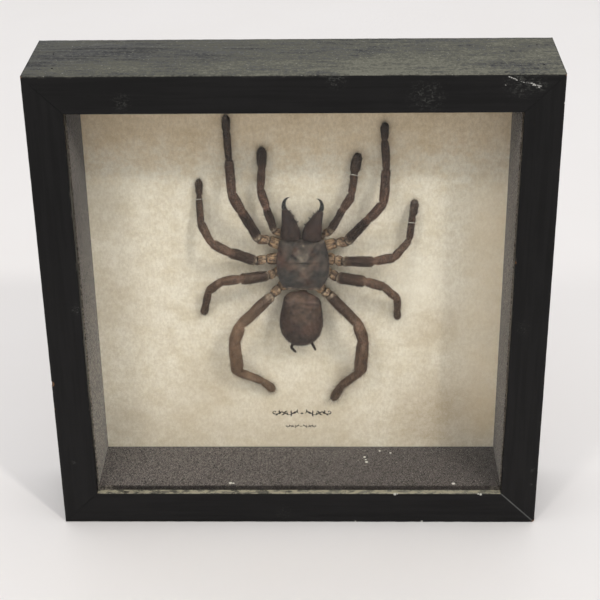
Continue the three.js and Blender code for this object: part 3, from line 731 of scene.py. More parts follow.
# The right half of a flourish in mm: a waving stem with a curled end, and its leaves, each
# with its foot, its heading in degrees and its length.
STEM = [(1.6, 0), (3.4, 1.0), (5.4, -0.2), (7.4, -1.0), (9.4, 0.2), (11.4, 1.0), (13.4, -0.2), (15.2, -0.3),
        (15.9, 0.8), (15.0, 1.5), (14.4, 0.8)]
LEAVES = [(2.4, 0.7, 75, 1.9), (3.4, 1.0, -50, 2.2), (5.4, -0.2, 62, 2.3), (5.9, -0.5, -95, 1.6),
          (7.4, -1.0, 50, 2.2), (9.4, 0.2, 118, 2.0), (9.6, 0.3, -58, 2.2), (11.4, 1.0, -55, 2.3),
          (12.2, 0.6, 70, 1.6), (13.4, -0.2, -60, 1.6)]


def between(rows, marks, wanted):
    """Rows filled in by smooth curves through each one at its mark."""
    rows, marks, wanted = (np.asarray(a, float) for a in (rows, marks, wanted))
    gap = np.diff(marks).reshape(-1, *[1] * (rows.ndim - 1))
    lean = np.empty_like(rows)
    lean[1:-1] = (rows[2:] - rows[:-2]) / (gap[:-1] + gap[1:])
    lean[0], lean[-1] = (rows[1] - rows[0]) / gap[0], (rows[-1] - rows[-2]) / gap[-1]
    at = np.clip(np.searchsorted(marks, wanted, side="right") - 1, 0, len(marks) - 2)
    t = ((wanted - marks[at]) / (marks[at + 1] - marks[at])).reshape(-1, *[1] * (rows.ndim - 1))
    h = gap[at]
    return ((1 + 2 * t) * (1 - t) ** 2 * rows[at] + t * (1 - t) ** 2 * h * lean[at]
            + t ** 2 * (3 - 2 * t) * rows[at + 1] + t ** 2 * (t - 1) * h * lean[at + 1])


def ink_stroke(work, line, widths, spot, mirror=1):
    """A flat band of ink along a line, as wide as told at each point."""
    rows = []
    for i, (x, z) in enumerate(line):
        before, after = line[max(i - 1, 0)], line[min(i + 1, len(line) - 1)]
        slope = Vector((after[0] - before[0], after[1] - before[1])).normalized()
        aside = Vector((-slope.y, slope.x)) * widths[i] / 2
        row = []
        for side, lift in ((1, 0), (1, 1), (-1, 1), (-1, 0)):
            across = spot[0] + mirror * (x + side * aside.x)
            up = spot[1] + z + side * aside.y
            row.append(work.verts.new((across * MM, sheet_face - lift * INK_THICKNESS, up * MM)))
        rows.append(row)
    for here, there in zip(rows, rows[1:]):
        for k in range(4):
            work.faces.new((here[k], here[(k + 1) % 4], there[(k + 1) % 4], there[k]))
    work.faces.new(rows[0][::-1])
    work.faces.new(rows[-1])


def flourish(name, spot, size):
    work = bmesh.new()
    shares = np.linspace(0, 1, STROKE_STEPS + 1)
    stem = between(STEM, np.linspace(0, 1, len(STEM)), shares) * size
    for mirror in (-1, 1):
        ink_stroke(work, stem, size * (0.28 + 0.4 * np.sin(3.5 * np.pi * shares) ** 2), spot, mirror)
        for x, z, heading, length in LEAVES:
            turn = np.radians(heading + 38 * (shares[::6] - 0.5))
            leaf = np.stack([x + shares[::6] * length * np.cos(turn),
                             z + shares[::6] * length * np.sin(turn)], axis=1) * size
            ink_stroke(work, leaf, size * (0.08 + 0.72 * np.sin(np.pi * shares[::6] ** 0.7)), spot, mirror)
    lozenge = np.array([(-0.9, 0), (-0.45, 0), (0, 0), (0.45, 0), (0.9, 0)]) * size
    ink_stroke(work, lozenge, np.array([0.05, 0.65, 1.25, 0.65, 0.05]) * size, spot)
    bmesh.ops.recalc_face_normals(work, faces=work.faces)
    mesh = bpy.data.meshes.new(name)
    work.to_mesh(mesh)
    work.free()
    return new_piece(name, mesh, ink)


ink, tree, shader = new_finish("pen_ink", Roughness=0.5, Specular_IOR_Level=0.3)
flow = mottle(object_place(tree), 800)
feed(shader, Base_Color=blend(flow, "100d0b", "2a231e"))
for name, spot, size in (("flourish_upper", (1.2, 39.8), 1.0), ("flourish_lower", (0.6, 31.4), 0.52)):
    drawn = flourish(name, spot, size)
    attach(drawn, "root")

# ---------------------------------------------------------------- legs and palps
# Eight legs and two palps, dried stiff. Each is a tube of thin brown skin, pinched at its
# joints and furrowed where it shrank, under a short velvet coat with longer bristles. The
# coxae and trochanters are nearly bare, and show pale tan skin with dark creases.
SPIDER_X, SPIDER_Z = 2.9 * MM, 136 * MM
OFF_SHEET = Vector((0, -1, 0))
LIMB_SIDES = 10
LIMB_AROUND = 28
LIMB_SPACING = 0.6 * MM
COAT_DEPTH = 0.32 * MM
SHEET_CLEARANCE = 0.02 * MM
# Hairs: how many on a square mm, their length and thickness in mm, and their bend, lean and stray.
LIMB_VELVET = (10.5, 0.85, 0.042, 0.35, 1.3, 0.45)
LIMB_BRISTLE = (1.1, 1.9, 0.045, 0.3, 0.8, 0.5)
LAST_STATION = 7.0
JOINT_WIDTH = 0.45 * MM
COXA_MARKS = [0.04, 0.4, 0.85]
TROCHANTER_MARKS = [0.5]
SEGMENT_MARKS = [0.09, 0.55, 0.9]
FOOT_MARKS = [0.1, 0.45, 0.78, 0.96]


def cage_of(node_name, sides):
    """The rings of a CAD skin from its body end to its tip, each point in step with the next."""
    work = bmesh.new()
    work.from_mesh(nodes[node_name].data)
    bmesh.ops.remove_doubles(work, verts=work.verts, dist=MERGE_DISTANCE)
    body = Vector((SPIDER_X, sheet_face, SPIDER_Z))
    poles = [v for v in work.verts if len(v.link_edges) >= sides]
    row = [min(poles, key=lambda v: (v.co - body).length)]
    seen = set(row)
    rings = []
    while row:
        rings.append([v.co.copy() for v in row])
        row = list({e.other_vert(v) for v in row for e in v.link_edges} - seen)
        seen.update(row)
    work.free()
    middles = [sum(ring, Vector()) / len(ring) for ring in rings]
    cage = []
    for i, ring in enumerate(rings):
        if len(ring) == 1:
            cage.append([ring[0]] * sides)
            continue
        along = (middles[i + 1] - middles[i - 1]).normalized()
        up = (OFF_SHEET - along * OFF_SHEET.dot(along)).normalized()
        across = up.cross(along)
        off = [(v, v - middles[i]) for v in ring]
        off.sort(key=lambda pair: math.atan2(pair[1].dot(up), pair[1].dot(across)))
        first = max(range(len(off)), key=lambda k: off[k][1].dot(across))
        cage.append([pair[0] for pair in off[first:] + off[:first]])
    return np.array(cage)


def closed_mesh(name, points):
    """A smooth closed mesh over rings of points, with its first and its last ring drawn together."""
    rings, around = points.shape[:2]
    spots = [points[0].mean(axis=0)]
    spots += list(points[1:-1].reshape(-1, 3)) + [points[-1].mean(axis=0)]
    last = len(spots) - 1
    number = lambda i, k: 1 + (i - 1) * around + k % around
    faces = [(0, number(1, k + 1), number(1, k)) for k in range(around)]
    for i in range(1, rings - 2):
        faces += [(number(i, k), number(i, k + 1), number(i + 1, k + 1), number(i + 1, k))
                  for k in range(around)]
    faces += [(last, number(rings - 2, k), number(rings - 2, k + 1)) for k in range(around)]
    mesh = bpy.data.meshes.new(name)
    mesh.from_pydata([tuple(s) for s in spots], [], faces)
    work = bmesh.new()
    work.from_mesh(mesh)
    bmesh.ops.recalc_face_normals(work, faces=work.faces)
    work.to_mesh(mesh)
    work.free()
    mesh.shade_smooth()
    return mesh


class Skin:
    """A closed skin over rings: its points, and what its coat and its finish need to know."""

    def __init__(self, cage, around, spacing, marks=None):
        sides = cage.shape[1]
        wrapped = np.concatenate([cage[:, -2:], cage, cage[:, :2]], axis=1)
        turns = np.arange(around) * sides / around
        cage = np.swapaxes(between(np.swapaxes(wrapped, 0, 1), np.arange(-2, sides + 2), turns), 0, 1)
        middles = cage.mean(axis=1)
        reach = np.concatenate([[0], np.cumsum(np.linalg.norm(np.diff(middles, axis=0), axis=1))])
        wanted = np.linspace(reach[1], reach[-2], max(6, round(reach[-1] / spacing)))
        filled = between(cage[1:-1], reach[1:-1], wanted)
        self.points = np.concatenate([cage[:1], filled, cage[-1:]])
        self.middles = self.points.mean(axis=1)
        self.reach = np.concatenate([[0], wanted, reach[-1:]])
        marks = np.linspace(0, 1, len(reach)) if marks is None else marks
        self.marks = np.interp(self.reach, reach, marks)
        self.angle = 2 * np.pi * np.arange(around) / around
        along = np.gradient(self.middles, self.reach, axis=0)
        self.along = along / np.linalg.norm(along, axis=1, keepdims=True)
        self.flow = np.repeat(self.along[:, None], around, axis=1)
        self.coat = np.ones(self.points.shape[:2])
        self.bristles = np.ones(self.points.shape[:2])
        self.painted_shade = np.zeros(self.points.shape[:2])
        self.pale = np.zeros(self.points.shape[:2])
        self.measure()

    def measure(self):
        off = self.points - self.middles[:, None]
        self.girth = np.linalg.norm(off, axis=2)
        self.outward = off / np.maximum(self.girth, 1e-9)[..., None]

    def sink(self, depth):
        """Moves the skin inward, by a number or by one for each point."""
        depth = np.minimum(depth, 0.45 * self.girth)
        self.points -= self.outward * depth[..., None]
        self.measure()

    def roughen(self, depth, scale, stretch=1.0, seed=0.0, detail=3):
        """Furrows the skin, with its furrows stretched along it."""
        for i, ring in enumerate(self.outward):
            along = self.reach[i] * scale / stretch
            for k, out in enumerate(ring):
                wide = self.girth[i, k] * scale
                if stretch == 1:
                    spot = Vector(out * self.girth[i, k] * scale) + Vector((seed, along, seed * 1.7))
                else:
                    turn = self.angle[k]
                    spot = Vector((math.cos(turn) * wide + seed, along, math.sin(turn) * wide))
                value = noise.fractal(spot, 0.9, 2.1, detail)
                self.points[i, k] += out * depth * min(1, self.girth[i, k] / MM) * value

    def piece(self, name, *finishes):
        mesh = closed_mesh(name, self.points)
        around = self.points.shape[1]
        unrolled = np.stack([np.cos(self.angle) * self.girth, np.sin(self.angle) * self.girth,
                             np.repeat(self.reach[:, None], around, axis=1)], axis=2)
        marks = np.repeat(self.marks[:, None], around, axis=1)
        kept = {"station": marks, "coat": self.coat, "bristles": self.bristles,
                "painted_shade": self.painted_shade, "pale": self.pale, "flow": self.flow,
                "unrolled": unrolled}
        for label, values in kept.items():
            wide = values.ndim == 3
            flat = values[1:-1].reshape(-1, 3) if wide else values[1:-1].reshape(-1)
            flat = np.concatenate([values[0, :1], flat, values[-1, :1]])
            kind = "FLOAT_VECTOR" if wide else "FLOAT"
            layer = mesh.attributes.new(label, kind, "POINT")
            layer.data.foreach_set("vector" if wide else "value", flat.astype(np.float32).ravel())
        return new_piece(name, mesh, *finishes)


HAIR_WORDS = ("per m2", "length", "thickness", "bend", "lean", "stray")
# How much shorter or longer than told a hair may be, and the seeds of its length and shade.
HAIR_SCALE = (0.55, 1.25)
SCALE_SEED, SHADE_SEED = 5, 9


def hair_layer(tree, given, label, weight, rings):
    """One layer of hairs. Each is a thin spike, bent towards where the coat flows."""
    value = lambda word: given[f"{label} {word}"]
    spread = put(tree, "GeometryNodeDistributePointsOnFaces",
                 {"Mesh": given["Geometry"], "Density": value("per m2") * named(tree, weight),
                  "Seed": given["Seed"]})
    spike = output(tree, "GeometryNodeMeshCone",
                   {"Vertices": 3, "Side Segments": rings, "Radius Top": 0.0,
                    "Radius Bottom": value("thickness"), "Depth": value("length")})
    tip = axes(output(tree, "GeometryNodeInputPosition"))[2] / value("length")
    aside = tip * tip * value("bend") * value("length")
    marked = output(tree, "GeometryNodeStoreNamedAttribute",
                    {"Geometry": spike, "Name": "tip", "Value": tip}, data_type="FLOAT")
    bent = output(tree, "GeometryNodeSetPosition",
                  {"Geometry": marked, "Offset": output(tree, "ShaderNodeCombineXYZ", {0: aside})})
    flow = named(tree, "flow", "FLOAT_VECTOR")
    stray = random_value(tree, (-1, -1, -1), (1, 1, 1), given["Seed"])
    aim = Field(tree, spread.outputs["Normal"])
    for course, word in ((flow, "lean"), (stray, "stray")):
        push = output(tree, "ShaderNodeVectorMath", {0: course, "Scale": value(word)}, operation="SCALE")
        aim = output(tree, "ShaderNodeVectorMath", {0: aim, 1: push}, operation="ADD")
    upright = output(tree, "FunctionNodeAlignRotationToVector", {"Vector": aim}, axis="Z")
    turned = output(tree, "FunctionNodeAlignRotationToVector", {"Rotation": upright, "Vector": flow},
                    axis="X", pivot_axis="Z")
    shaded = output(tree, "GeometryNodeStoreNamedAttribute",
                    {"Geometry": spread.outputs[0], "Name": "shade",
                     "Value": random_value(tree, 0.0, 1.0, SHADE_SEED)}, data_type="FLOAT")
    hairs = output(tree, "GeometryNodeInstanceOnPoints",
                   {"Points": shaded, "Instance": bent, "Rotation": turned,
                    "Scale": random_value(tree, *HAIR_SCALE, SCALE_SEED)})
    return dressed(tree, hairs, given["Hair finish"])


def coat_tree():
    """A skin's coat: a short dense velvet, and long sparse bristles through it."""
    inputs = {f"{label} {word}": "Float" for label in ("Velvet", "Bristle") for word in HAIR_WORDS}
    tree, given = new_tree("spider_coat", {**inputs, "Seed": "Int", "Hair finish": "Material"})
    send_out(tree, hair_layer(tree, given, "Velvet", "coat", 1),
             hair_layer(tree, given, "Bristle", "bristles", 2), given["Geometry"])
    return tree


def coat_values(seed, finish, velvet, bristle):
    """Inputs of the coat: hairs a square mm, length and thickness in mm, bend, lean, stray."""
    values = {"Seed": seed, "Hair finish": finish}
    for label, numbers in (("Velvet", velvet), ("Bristle", bristle)):
        units = (1 / MM ** 2, MM, MM, 1, 1, 1)
        for word, number, unit in zip(HAIR_WORDS, numbers, units):
            values[f"{label} {word}"] = float(number * unit)
    return values


def kept(tree, label, which="Fac"):
    """What the points of a skin or a hair keep under a name."""
    return output(tree, "ShaderNodeAttribute", which=which, attribute_name=label)


def banded(value, bands):
    """Colours that change along a limb: pairs of a station and a colour."""
    ramp = put(value.tree, "ShaderNodeValToRGB", {0: value / LAST_STATION})
    points = ramp.color_ramp.elements
    while len(points) < len(bands):
        points.new(1.0)
    for point, (station, code) in zip(points, bands):
        point.position = station / LAST_STATION
        point.color = tint(code)
    return Field(value.tree, ramp.outputs[0])


def faded(colour):
    """The colour with the paleness of its limb."""
    return blend(kept(colour.tree, "pale") * 0.5, colour, "ac8b6b")


def limb_skin():
    finish, tree, shader = new_finish("limb_skin", Roughness=0.62, Specular_IOR_Level=0.35)
    streak_place = output(tree, "ShaderNodeMapping",
                          {"Vector": kept(tree, "unrolled", "Vector"), "Scale": (1100, 1100, 130)})
    streaks = ease(mottle(streak_place, 1, 5, 0.65), 0.36, 0.68)
    patches = ease(mottle(object_place(tree), 520, 4, 0.6), 0.36, 0.66)
    station = kept(tree, "station")
    base = banded(station, [
        (0.0, "66564a"), (0.35, "c9ab87"), (0.9, "b08f6b"), (1.0, "1d1511"), (1.12, "d9bd9a"),
        (1.85, "ac8b69"), (2.0, "1d1511"), (2.07, "cdb99e"), (2.2, "56433a"), (2.9, "4e3b32"),
        (3.02, "8a6b5a"), (3.2, "6c5243"), (3.9, "664c3d"), (4.05, "74594a"), (4.2, "624a3b"),
        (5.0, "5a4336"), (6.0, "523d30"), (7.0, "38291f")])
    deep = banded(station, [
        (0.0, "211914"), (0.35, "443327"), (0.9, "3b2b20"), (1.0, "110c0a"), (1.12, "47352a"),
        (1.85, "3d2c21"), (2.0, "110c0a"), (2.07, "4c3d31"), (2.2, "261c18"), (2.9, "211814"),
        (3.02, "4a352c"), (3.2, "382820"), (3.9, "30221b"), (4.05, "3a2a22"), (4.2, "2e2019"),
        (5.0, "281c16"), (6.0, "241a14"), (7.0, "18110d")])
    share = streaks * 0.65 + patches * 0.6 - 0.2
    colour = faded(blend(share, deep, base))
    bump = relief(streaks, 0.15 * MM, 0.8)
    grain = mottle(object_place(tree), 3500, 3, 0.6)
    feed(shader, Base_Color=colour, Normal=relief(grain, 0.05 * MM, 0.6, bump))
    return finish


def toned(place, colour, tones):
    """A colour with mottled spots of other tones: x, z and lift on the spider, radius, strength."""
    mottled = ease(mottle(place, 620, 4, 0.75), 0.4, 0.6, 0.25, 1.75) if tones else None
    for x, z, lift, radius, strength, tone in tones:
        spot = (SPIDER_X / MM + x, sheet_face / MM - lift, SPIDER_Z / MM + z)
        colour = blend(near(place, spot, radius, 0.7) * strength * mottled, colour, tone)
    return colour


def hair_finish(name, roots, tips, tones=()):
    """Hair that pales towards its tip and differs a little from hair to hair."""
    finish, tree, shader = new_finish(name, Roughness=0.55, Specular_IOR_Level=0.3)
    place = object_place(tree)
    patches = ease(mottle(place, 420, 4, 0.6), 0.42, 0.6, -0.42, 0.42)
    clumps = ease(mottle(place, 950, 3, 0.65), 0.43, 0.58, -0.6, 0.66)
    root, end, rubbed, matted = roots, tips, tips, roots
    if isinstance(roots, list):
        station = kept(tree, "station")
        root, end, rubbed, matted = banded(station, roots), banded(station, tips), "a08b77", "281c17"
    share = kept(tree, "tip") * 0.4 + kept(tree, "shade") * 0.35 + patches + clumps
    # The painted shade of the skin darkens its hairs too.
    colour = faded(blend(kept(tree, "painted_shade") * -0.7 + share, root, end))
    wear = mottle(object_place(tree, (330, 330, 250)), 1, 6, 0.8)
    colour = blend(ease(wear, 0.54, 0.6, 0.0, 0.7), colour, rubbed)
    colour = blend(ease(wear, 0.47, 0.4, 0.0, 0.85), colour, matted)
    feed(shader, Base_Color=toned(place, colour, tones))
    return finish


# Pale spots: x, z and lift in mm on the spider, radius, strength and tone.
LIMB_TONES = [(56.7, 32.6, 5, 0.9, 1.0, "f4f1ea"), (-25.4, 27.7, 11, 0.9, 0.9, "d2c8b8"),
              (-35.8, 3.6, 11, 0.9, 0.9, "d2c8b8"), (54.9, 28.9, 6, 1.1, 0.7, "a8937f"),
              (54.1, 19.4, 7, 1.0, 0.7, "a8937f"), (21, 0.5, 11, 4, 0.45, "a88b6a"),
              (12.4, 8.4, 9, 3.2, 0.6, "dcb78c"), (-12.8, 9, 9, 2.6, 0.35, "d8bc98"),
              (14.4, 1.2, 9, 2.4, 0.35, "d8bc98")]

limb_finish = limb_skin()
limb_hair = hair_finish(
    "limb_hair",
    [(0.0, "5b4838"), (1.0, "5b4838"), (2.0, "46362c"), (2.2, "2a1f1b"), (2.86, "231916"),
     (3.03, "4a372d"), (3.2, "34251e"), (3.88, "2c1f19"), (4.04, "423129"), (4.2, "32241c"),
     (4.9, "291d18"), (5.05, "392921"), (5.3, "2e2119"), (6.0, "261b15"), (7.0, "1a1310")],
    [(0.0, "ab8b66"), (1.0, "ab8b66"), (2.0, "866850"), (2.2, "64493c"), (2.86, "5a4033"),
     (3.03, "b08b72"), (3.2, "8f6a54"), (3.88, "785545"), (4.04, "a37d65"), (4.2, "87624b"),
     (4.9, "735341"), (5.05, "906d57"), (5.3, "7e5c47"), (6.0, "6c4e3b"), (7.0, "483930")],
    LIMB_TONES)
coat = coat_tree()


def marks_of(segments):
    """The station of each ring of a limb. A palp has no metatarsus, so it skips that one."""
    marks = [0.0] + COXA_MARKS + [1.0] + [1 + m for m in TROCHANTER_MARKS]
    for segment in segments[2:-1]:
        marks += [segment] + [segment + m for m in SEGMENT_MARKS]
    foot = segments[-1]
    return marks + [segments[-2] + 1.0] + [foot + m for m in FOOT_MARKS] + [foot + 1.0]


def creased(skin, station, depth, width):
    """Pinches a skin at a joint, where it folds."""
    where = np.interp(station, skin.marks, skin.reach)
    dent = depth * np.exp(-((skin.reach - where) / width) ** 2)
    skin.sink(np.repeat(dent[:, None], skin.points.shape[1], axis=1))


LEG_SEGMENTS = [0, 1, 2, 3, 4, 5, 6]
LONG_HAIRED = {"leg_right_4": 1.6, "leg_left_4": 1.3}
PALENESS = {"leg_left_4": 0.62, "leg_right_4": 0.3, "leg_right_3": 0.2, "leg_left_3": 0.2,
            "leg_right_2": 0.06, "leg_left_1": 0.03, "leg_right_1": 0.03, "palp_left": 0.03,
            "palp_right": 0.05}
PALP_SEGMENTS = [0, 1, 2, 3, 4, 6]
limbs = [f"{kind}_{side}{number}" for side in ("left", "right")
         for kind, number in (("palp", ""), ("leg", "_1"), ("leg", "_2"), ("leg", "_3"), ("leg", "_4"))]
for index, limb in enumerate(limbs):
    segments = PALP_SEGMENTS if limb.startswith("palp") else LEG_SEGMENTS
    skin = Skin(cage_of(limb, LIMB_SIDES), LIMB_AROUND, LIMB_SPACING, marks_of(segments))
    bare = np.clip((skin.marks - 1.95) / 0.25, 0, 1)[:, None]
    skin.sink(COAT_DEPTH * (0.25 + 0.75 * bare) * np.ones_like(skin.girth))
    skin.roughen(0.5 * MM, 420, 4.0, index * 3.1)
    skin.roughen(0.18 * MM, 1100, 2.5, index * 5.7, 2)
    skin.measure()
    for joint in segments[1:]:
        creased(skin, joint, (0.5 if joint < 3 else 0.3) * MM, JOINT_WIDTH)
    off_sheet = -skin.outward[..., 1]
    hidden = np.clip(0.6 + off_sheet, 0.25, 1)
    stripes = np.clip((skin.marks - 3) * 8, 0, 1) * np.clip((5.1 - skin.marks) * 8, 0, 1)
    two = np.exp(-((np.abs(np.sin(skin.angle)[None] - 0.75)) / 0.12) ** 2)
    # Painted shade: the furred segments are darker on the sides that face the sheet.
    skin.painted_shade += 0.55 * bare * np.clip(0.9 - 1.15 * off_sheet, 0, 1)
    skin.coat = hidden * (0.06 + 0.94 * bare) * (1 - 0.65 * stripes[:, None] * two)
    shaggy = LONG_HAIRED.get(limb, 1.0)
    skin.bristles = hidden * (0.25 + 0.75 * bare)
    skin.bristles *= 1 + (shaggy - 1) * np.clip(skin.marks - 4, 0, 2)[:, None]
    skin.pale += PALENESS.get(limb, 0.12) * np.clip(skin.marks - 1.9, 0, 1)[:, None]
    piece = skin.piece(f"{limb}_furred", limb_finish)
    density, length, *rest = LIMB_BRISTLE
    bristle = (density, length * shaggy, *rest)
    grow(piece, coat, coat_values(index + 11, limb_hair, LIMB_VELVET, bristle))
    # Hairs that reach the sheet lie flat against it.
    for vertex in piece.data.vertices:
        vertex.co.y = min(vertex.co.y, sheet_face - SHEET_CLEARANCE)
    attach(piece, "root")
    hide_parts(limb)

# ---------------------------------------------------------------- carapace and trunk
# The front body: a low leathery shield with its short down laid outward from the middle
# groove, radial furrows, and a hill of eight eyes at its front edge. Under it the trunk
# narrows between the coxae to the breastplate.
BODY_AROUND = 72
# Rows from front to back: z, x, lift, half width, rise and drop, in mm.
SHIELD = [
    (13.9, -0.5, 9.3, 0, 0, 0), (13.65, -0.5, 8.4, 10.4, 3.5, 0.7), (12, -0.5, 8.4, 11.6, 4.3, 0.7),
    (8, -0.3, 8.4, 12.5, 4.8, 0.7), (3.5, -0.1, 8.4, 13.3, 4.8, 0.7), (-0.5, 0, 8.4, 13.5, 4.5, 0.7),
    (-4.5, 0, 8.4, 13.4, 4.2, 0.7), (-8.5, 0, 8.4, 12.7, 3.6, 0.7), (-12, 0, 8.4, 11.1, 2.6, 0.7),
    (-14.2, 0, 8.4, 9.3, 1.7, 0.7), (-15.45, 0, 8.4, 7.5, 0.9, 0.7), (-15.85, 0, 8.4, 0, 0, 0)]
TRUNK = [(9.8, 0, 5.4, 0, 0, 0), (9, 0, 5.4, 3.6, 1.9, 1.9), (6, 0, 5.4, 6, 3.1, 3.1),
         (0, 0, 5.4, 7.3, 3.9, 3.9), (-6, 0, 5.4, 6, 3.1, 3.1), (-9.6, 0, 5.4, 3.6, 1.9, 1.9),
         (-10.4, 0, 5.4, 0, 0, 0)]
GROOVE = (0.2, 1.4)
FURROWS = (38, 142, 84, 96, -2, 182, -38, 218, -66, 246)
EYE_HILL = (-0.1, 11.4)
EYE_LIFT, EYE_DROP = 13.05, 0.32
BALL_RINGS, BALL_SIDES = 10, 16
PIT_DEPTH, FURROW_DEPTH, HILL_HEIGHT, DOWN_DEPTH = 0.95, 0.42, 0.75, 0.15
DEEP_FURROWS = (38, 142)
SHIELD_DOWN = (8.5, 0.42, 0.036, 0.3, 2.4, 0.4)
SHIELD_BRISTLE = (5.0, 1.2, 0.04, 0.35, 1.2, 0.5)
# Each eye: x and z from the middle of the hill, and its radius.
EYES = [(-0.42, 0.1, 0.27), (0.42, 0.1, 0.27), (-1.05, 0.55, 0.24), (1.05, 0.55, 0.24),
        (-0.95, -0.3, 0.17), (0.95, -0.3, 0.17), (-1.35, -0.05, 0.2), (1.35, -0.05, 0.2)]


def spider_place(x, z, lift):
    """A place told in mm from the middle of the shield, and as a lift off the sheet."""
    return Vector((SPIDER_X + x * MM, sheet_face - lift * MM, SPIDER_Z + z * MM))


def cage_from(rows, sides, settle=spider_place):
    middles = [settle(x, z, lift) for z, x, lift, *_ in rows]
    cage = [[middles[0]] * sides]
    for i in range(1, len(rows) - 1):
        wide, rise, drop = (reach * MM for reach in rows[i][3:])
        along = (middles[i + 1] - middles[i - 1]).normalized()
        up = (OFF_SHEET - along * OFF_SHEET.dot(along)).normalized()
        across = up.cross(along)
        ring = []
        for k in range(sides):
            turn = 2 * math.pi * k / sides
            lift = math.sin(turn) * (rise if k < sides / 2 else drop)
            ring.append(middles[i] + across * (wide * math.cos(turn)) + up * lift)
        cage.append(ring)
    cage.append([middles[-1]] * sides)
    return np.array(cage)


def joined(first, *others):
    """Several objects made one piece."""
    with bpy.context.temp_override(active_object=first, selected_editable_objects=[first, *others]):
        bpy.ops.object.join()
    return first


def hide_finish(name, dark, pale, warm, furrow, scale=300, tones=()):
    """Dry skin, clouded dark, pale and warm, with toned spots, and darkened with painted shade in its
    furrows and folds.
    """
    finish, tree, shader = new_finish(name, Roughness=0.7, Specular_IOR_Level=0.3)
    place = object_place(tree)
    clouds = ease(mottle(place, scale, 5, 0.62), 0.36, 0.64)
    warmth = ease(mottle(place, scale * 0.45, 3, 0.5), 0.5, 0.68)
    colour = blend(clouds, dark, pale)
    colour = blend(warmth * 0.7, colour, warm)
    colour = toned(place, colour, tones)
    colour = blend(kept(tree, "painted_shade"), colour, furrow)
    grain = mottle(place, 3200, 4, 0.65)
    bump = relief(clouds, 0.12 * MM, 0.5)
    feed(shader, Base_Color=colour, Normal=relief(grain, 0.06 * MM, 0.7, bump))
    return finish


def glossy(name, code, deep, roughness=0.16):
    finish, tree, shader = new_finish(name, Roughness=roughness, Specular_IOR_Level=0.6)
    cloud = mottle(object_place(tree), 900, 3, 0.6)
    bump = relief(cloud, 0.03 * MM, 0.4)
    feed(shader, Base_Color=blend(cloud, deep, code), Normal=bump)
    return finish


def ball(middle, radius):
    """The rings of a ball."""
    lift = np.linspace(0, np.pi, BALL_RINGS + 1)[:, None]
    turn = 2 * np.pi * np.arange(BALL_SIDES)[None] / BALL_SIDES
    off = [np.sin(lift) * np.cos(turn), np.sin(lift) * np.sin(turn), np.cos(lift) + 0 * turn]
    return np.array(middle) + radius * np.stack(off, axis=2)


def in_mm(skin):
    """Where a skin's points lie on the spider, in mm to the right and forward."""
    return (skin.points[..., 0] - SPIDER_X) / MM, (skin.points[..., 2] - SPIDER_Z) / MM


shield = Skin(cage_from(SHIELD, 36), BODY_AROUND, 0.4 * MM)
x, z = in_mm(shield)
from_groove = np.hypot(x - GROOVE[0], z - GROOVE[1])
bearing = np.degrees(np.arctan2(z - GROOVE[1], x - GROOVE[0]))
top = np.clip(-shield.outward[..., 1] * 2.5, 0, 1)
pit = np.exp(-((z - GROOVE[1] + 0.08 * (x - GROOVE[0]) ** 2) / 0.5) ** 2 - ((x - GROOVE[0]) / 2.1) ** 4)
rays = np.zeros_like(x)
for furrow in FURROWS:
    off = (bearing - furrow + 180) % 360 - 180
    width = 0.35 + 0.05 * from_groove
    ray = np.exp(-(from_groove * np.sin(np.radians(np.clip(off, -80, 80))) / width) ** 2)
    strength = 1.0 if furrow in DEEP_FURROWS else 0.7
    rays = np.maximum(rays, strength * ray * np.clip((from_groove - 1.5) / 2, 0, 1) * (np.abs(off) < 80))
rays *= np.clip((12.5 - from_groove) / 3, 0, 1)
hill = np.exp(-((x - EYE_HILL[0]) / 1.9) ** 2 - ((z - EYE_HILL[1]) / 1.35) ** 2)
shield.points[..., 1] += top * (PIT_DEPTH * pit + FURROW_DEPTH * rays - HILL_HEIGHT * hill) * MM
shield.points[..., 1] += DOWN_DEPTH * MM * top
shield.measure()
shield.roughen(0.2 * MM, 330, 1.0, 4.2)
shield.roughen(0.07 * MM, 1300, 1.0, 9.2, 2)
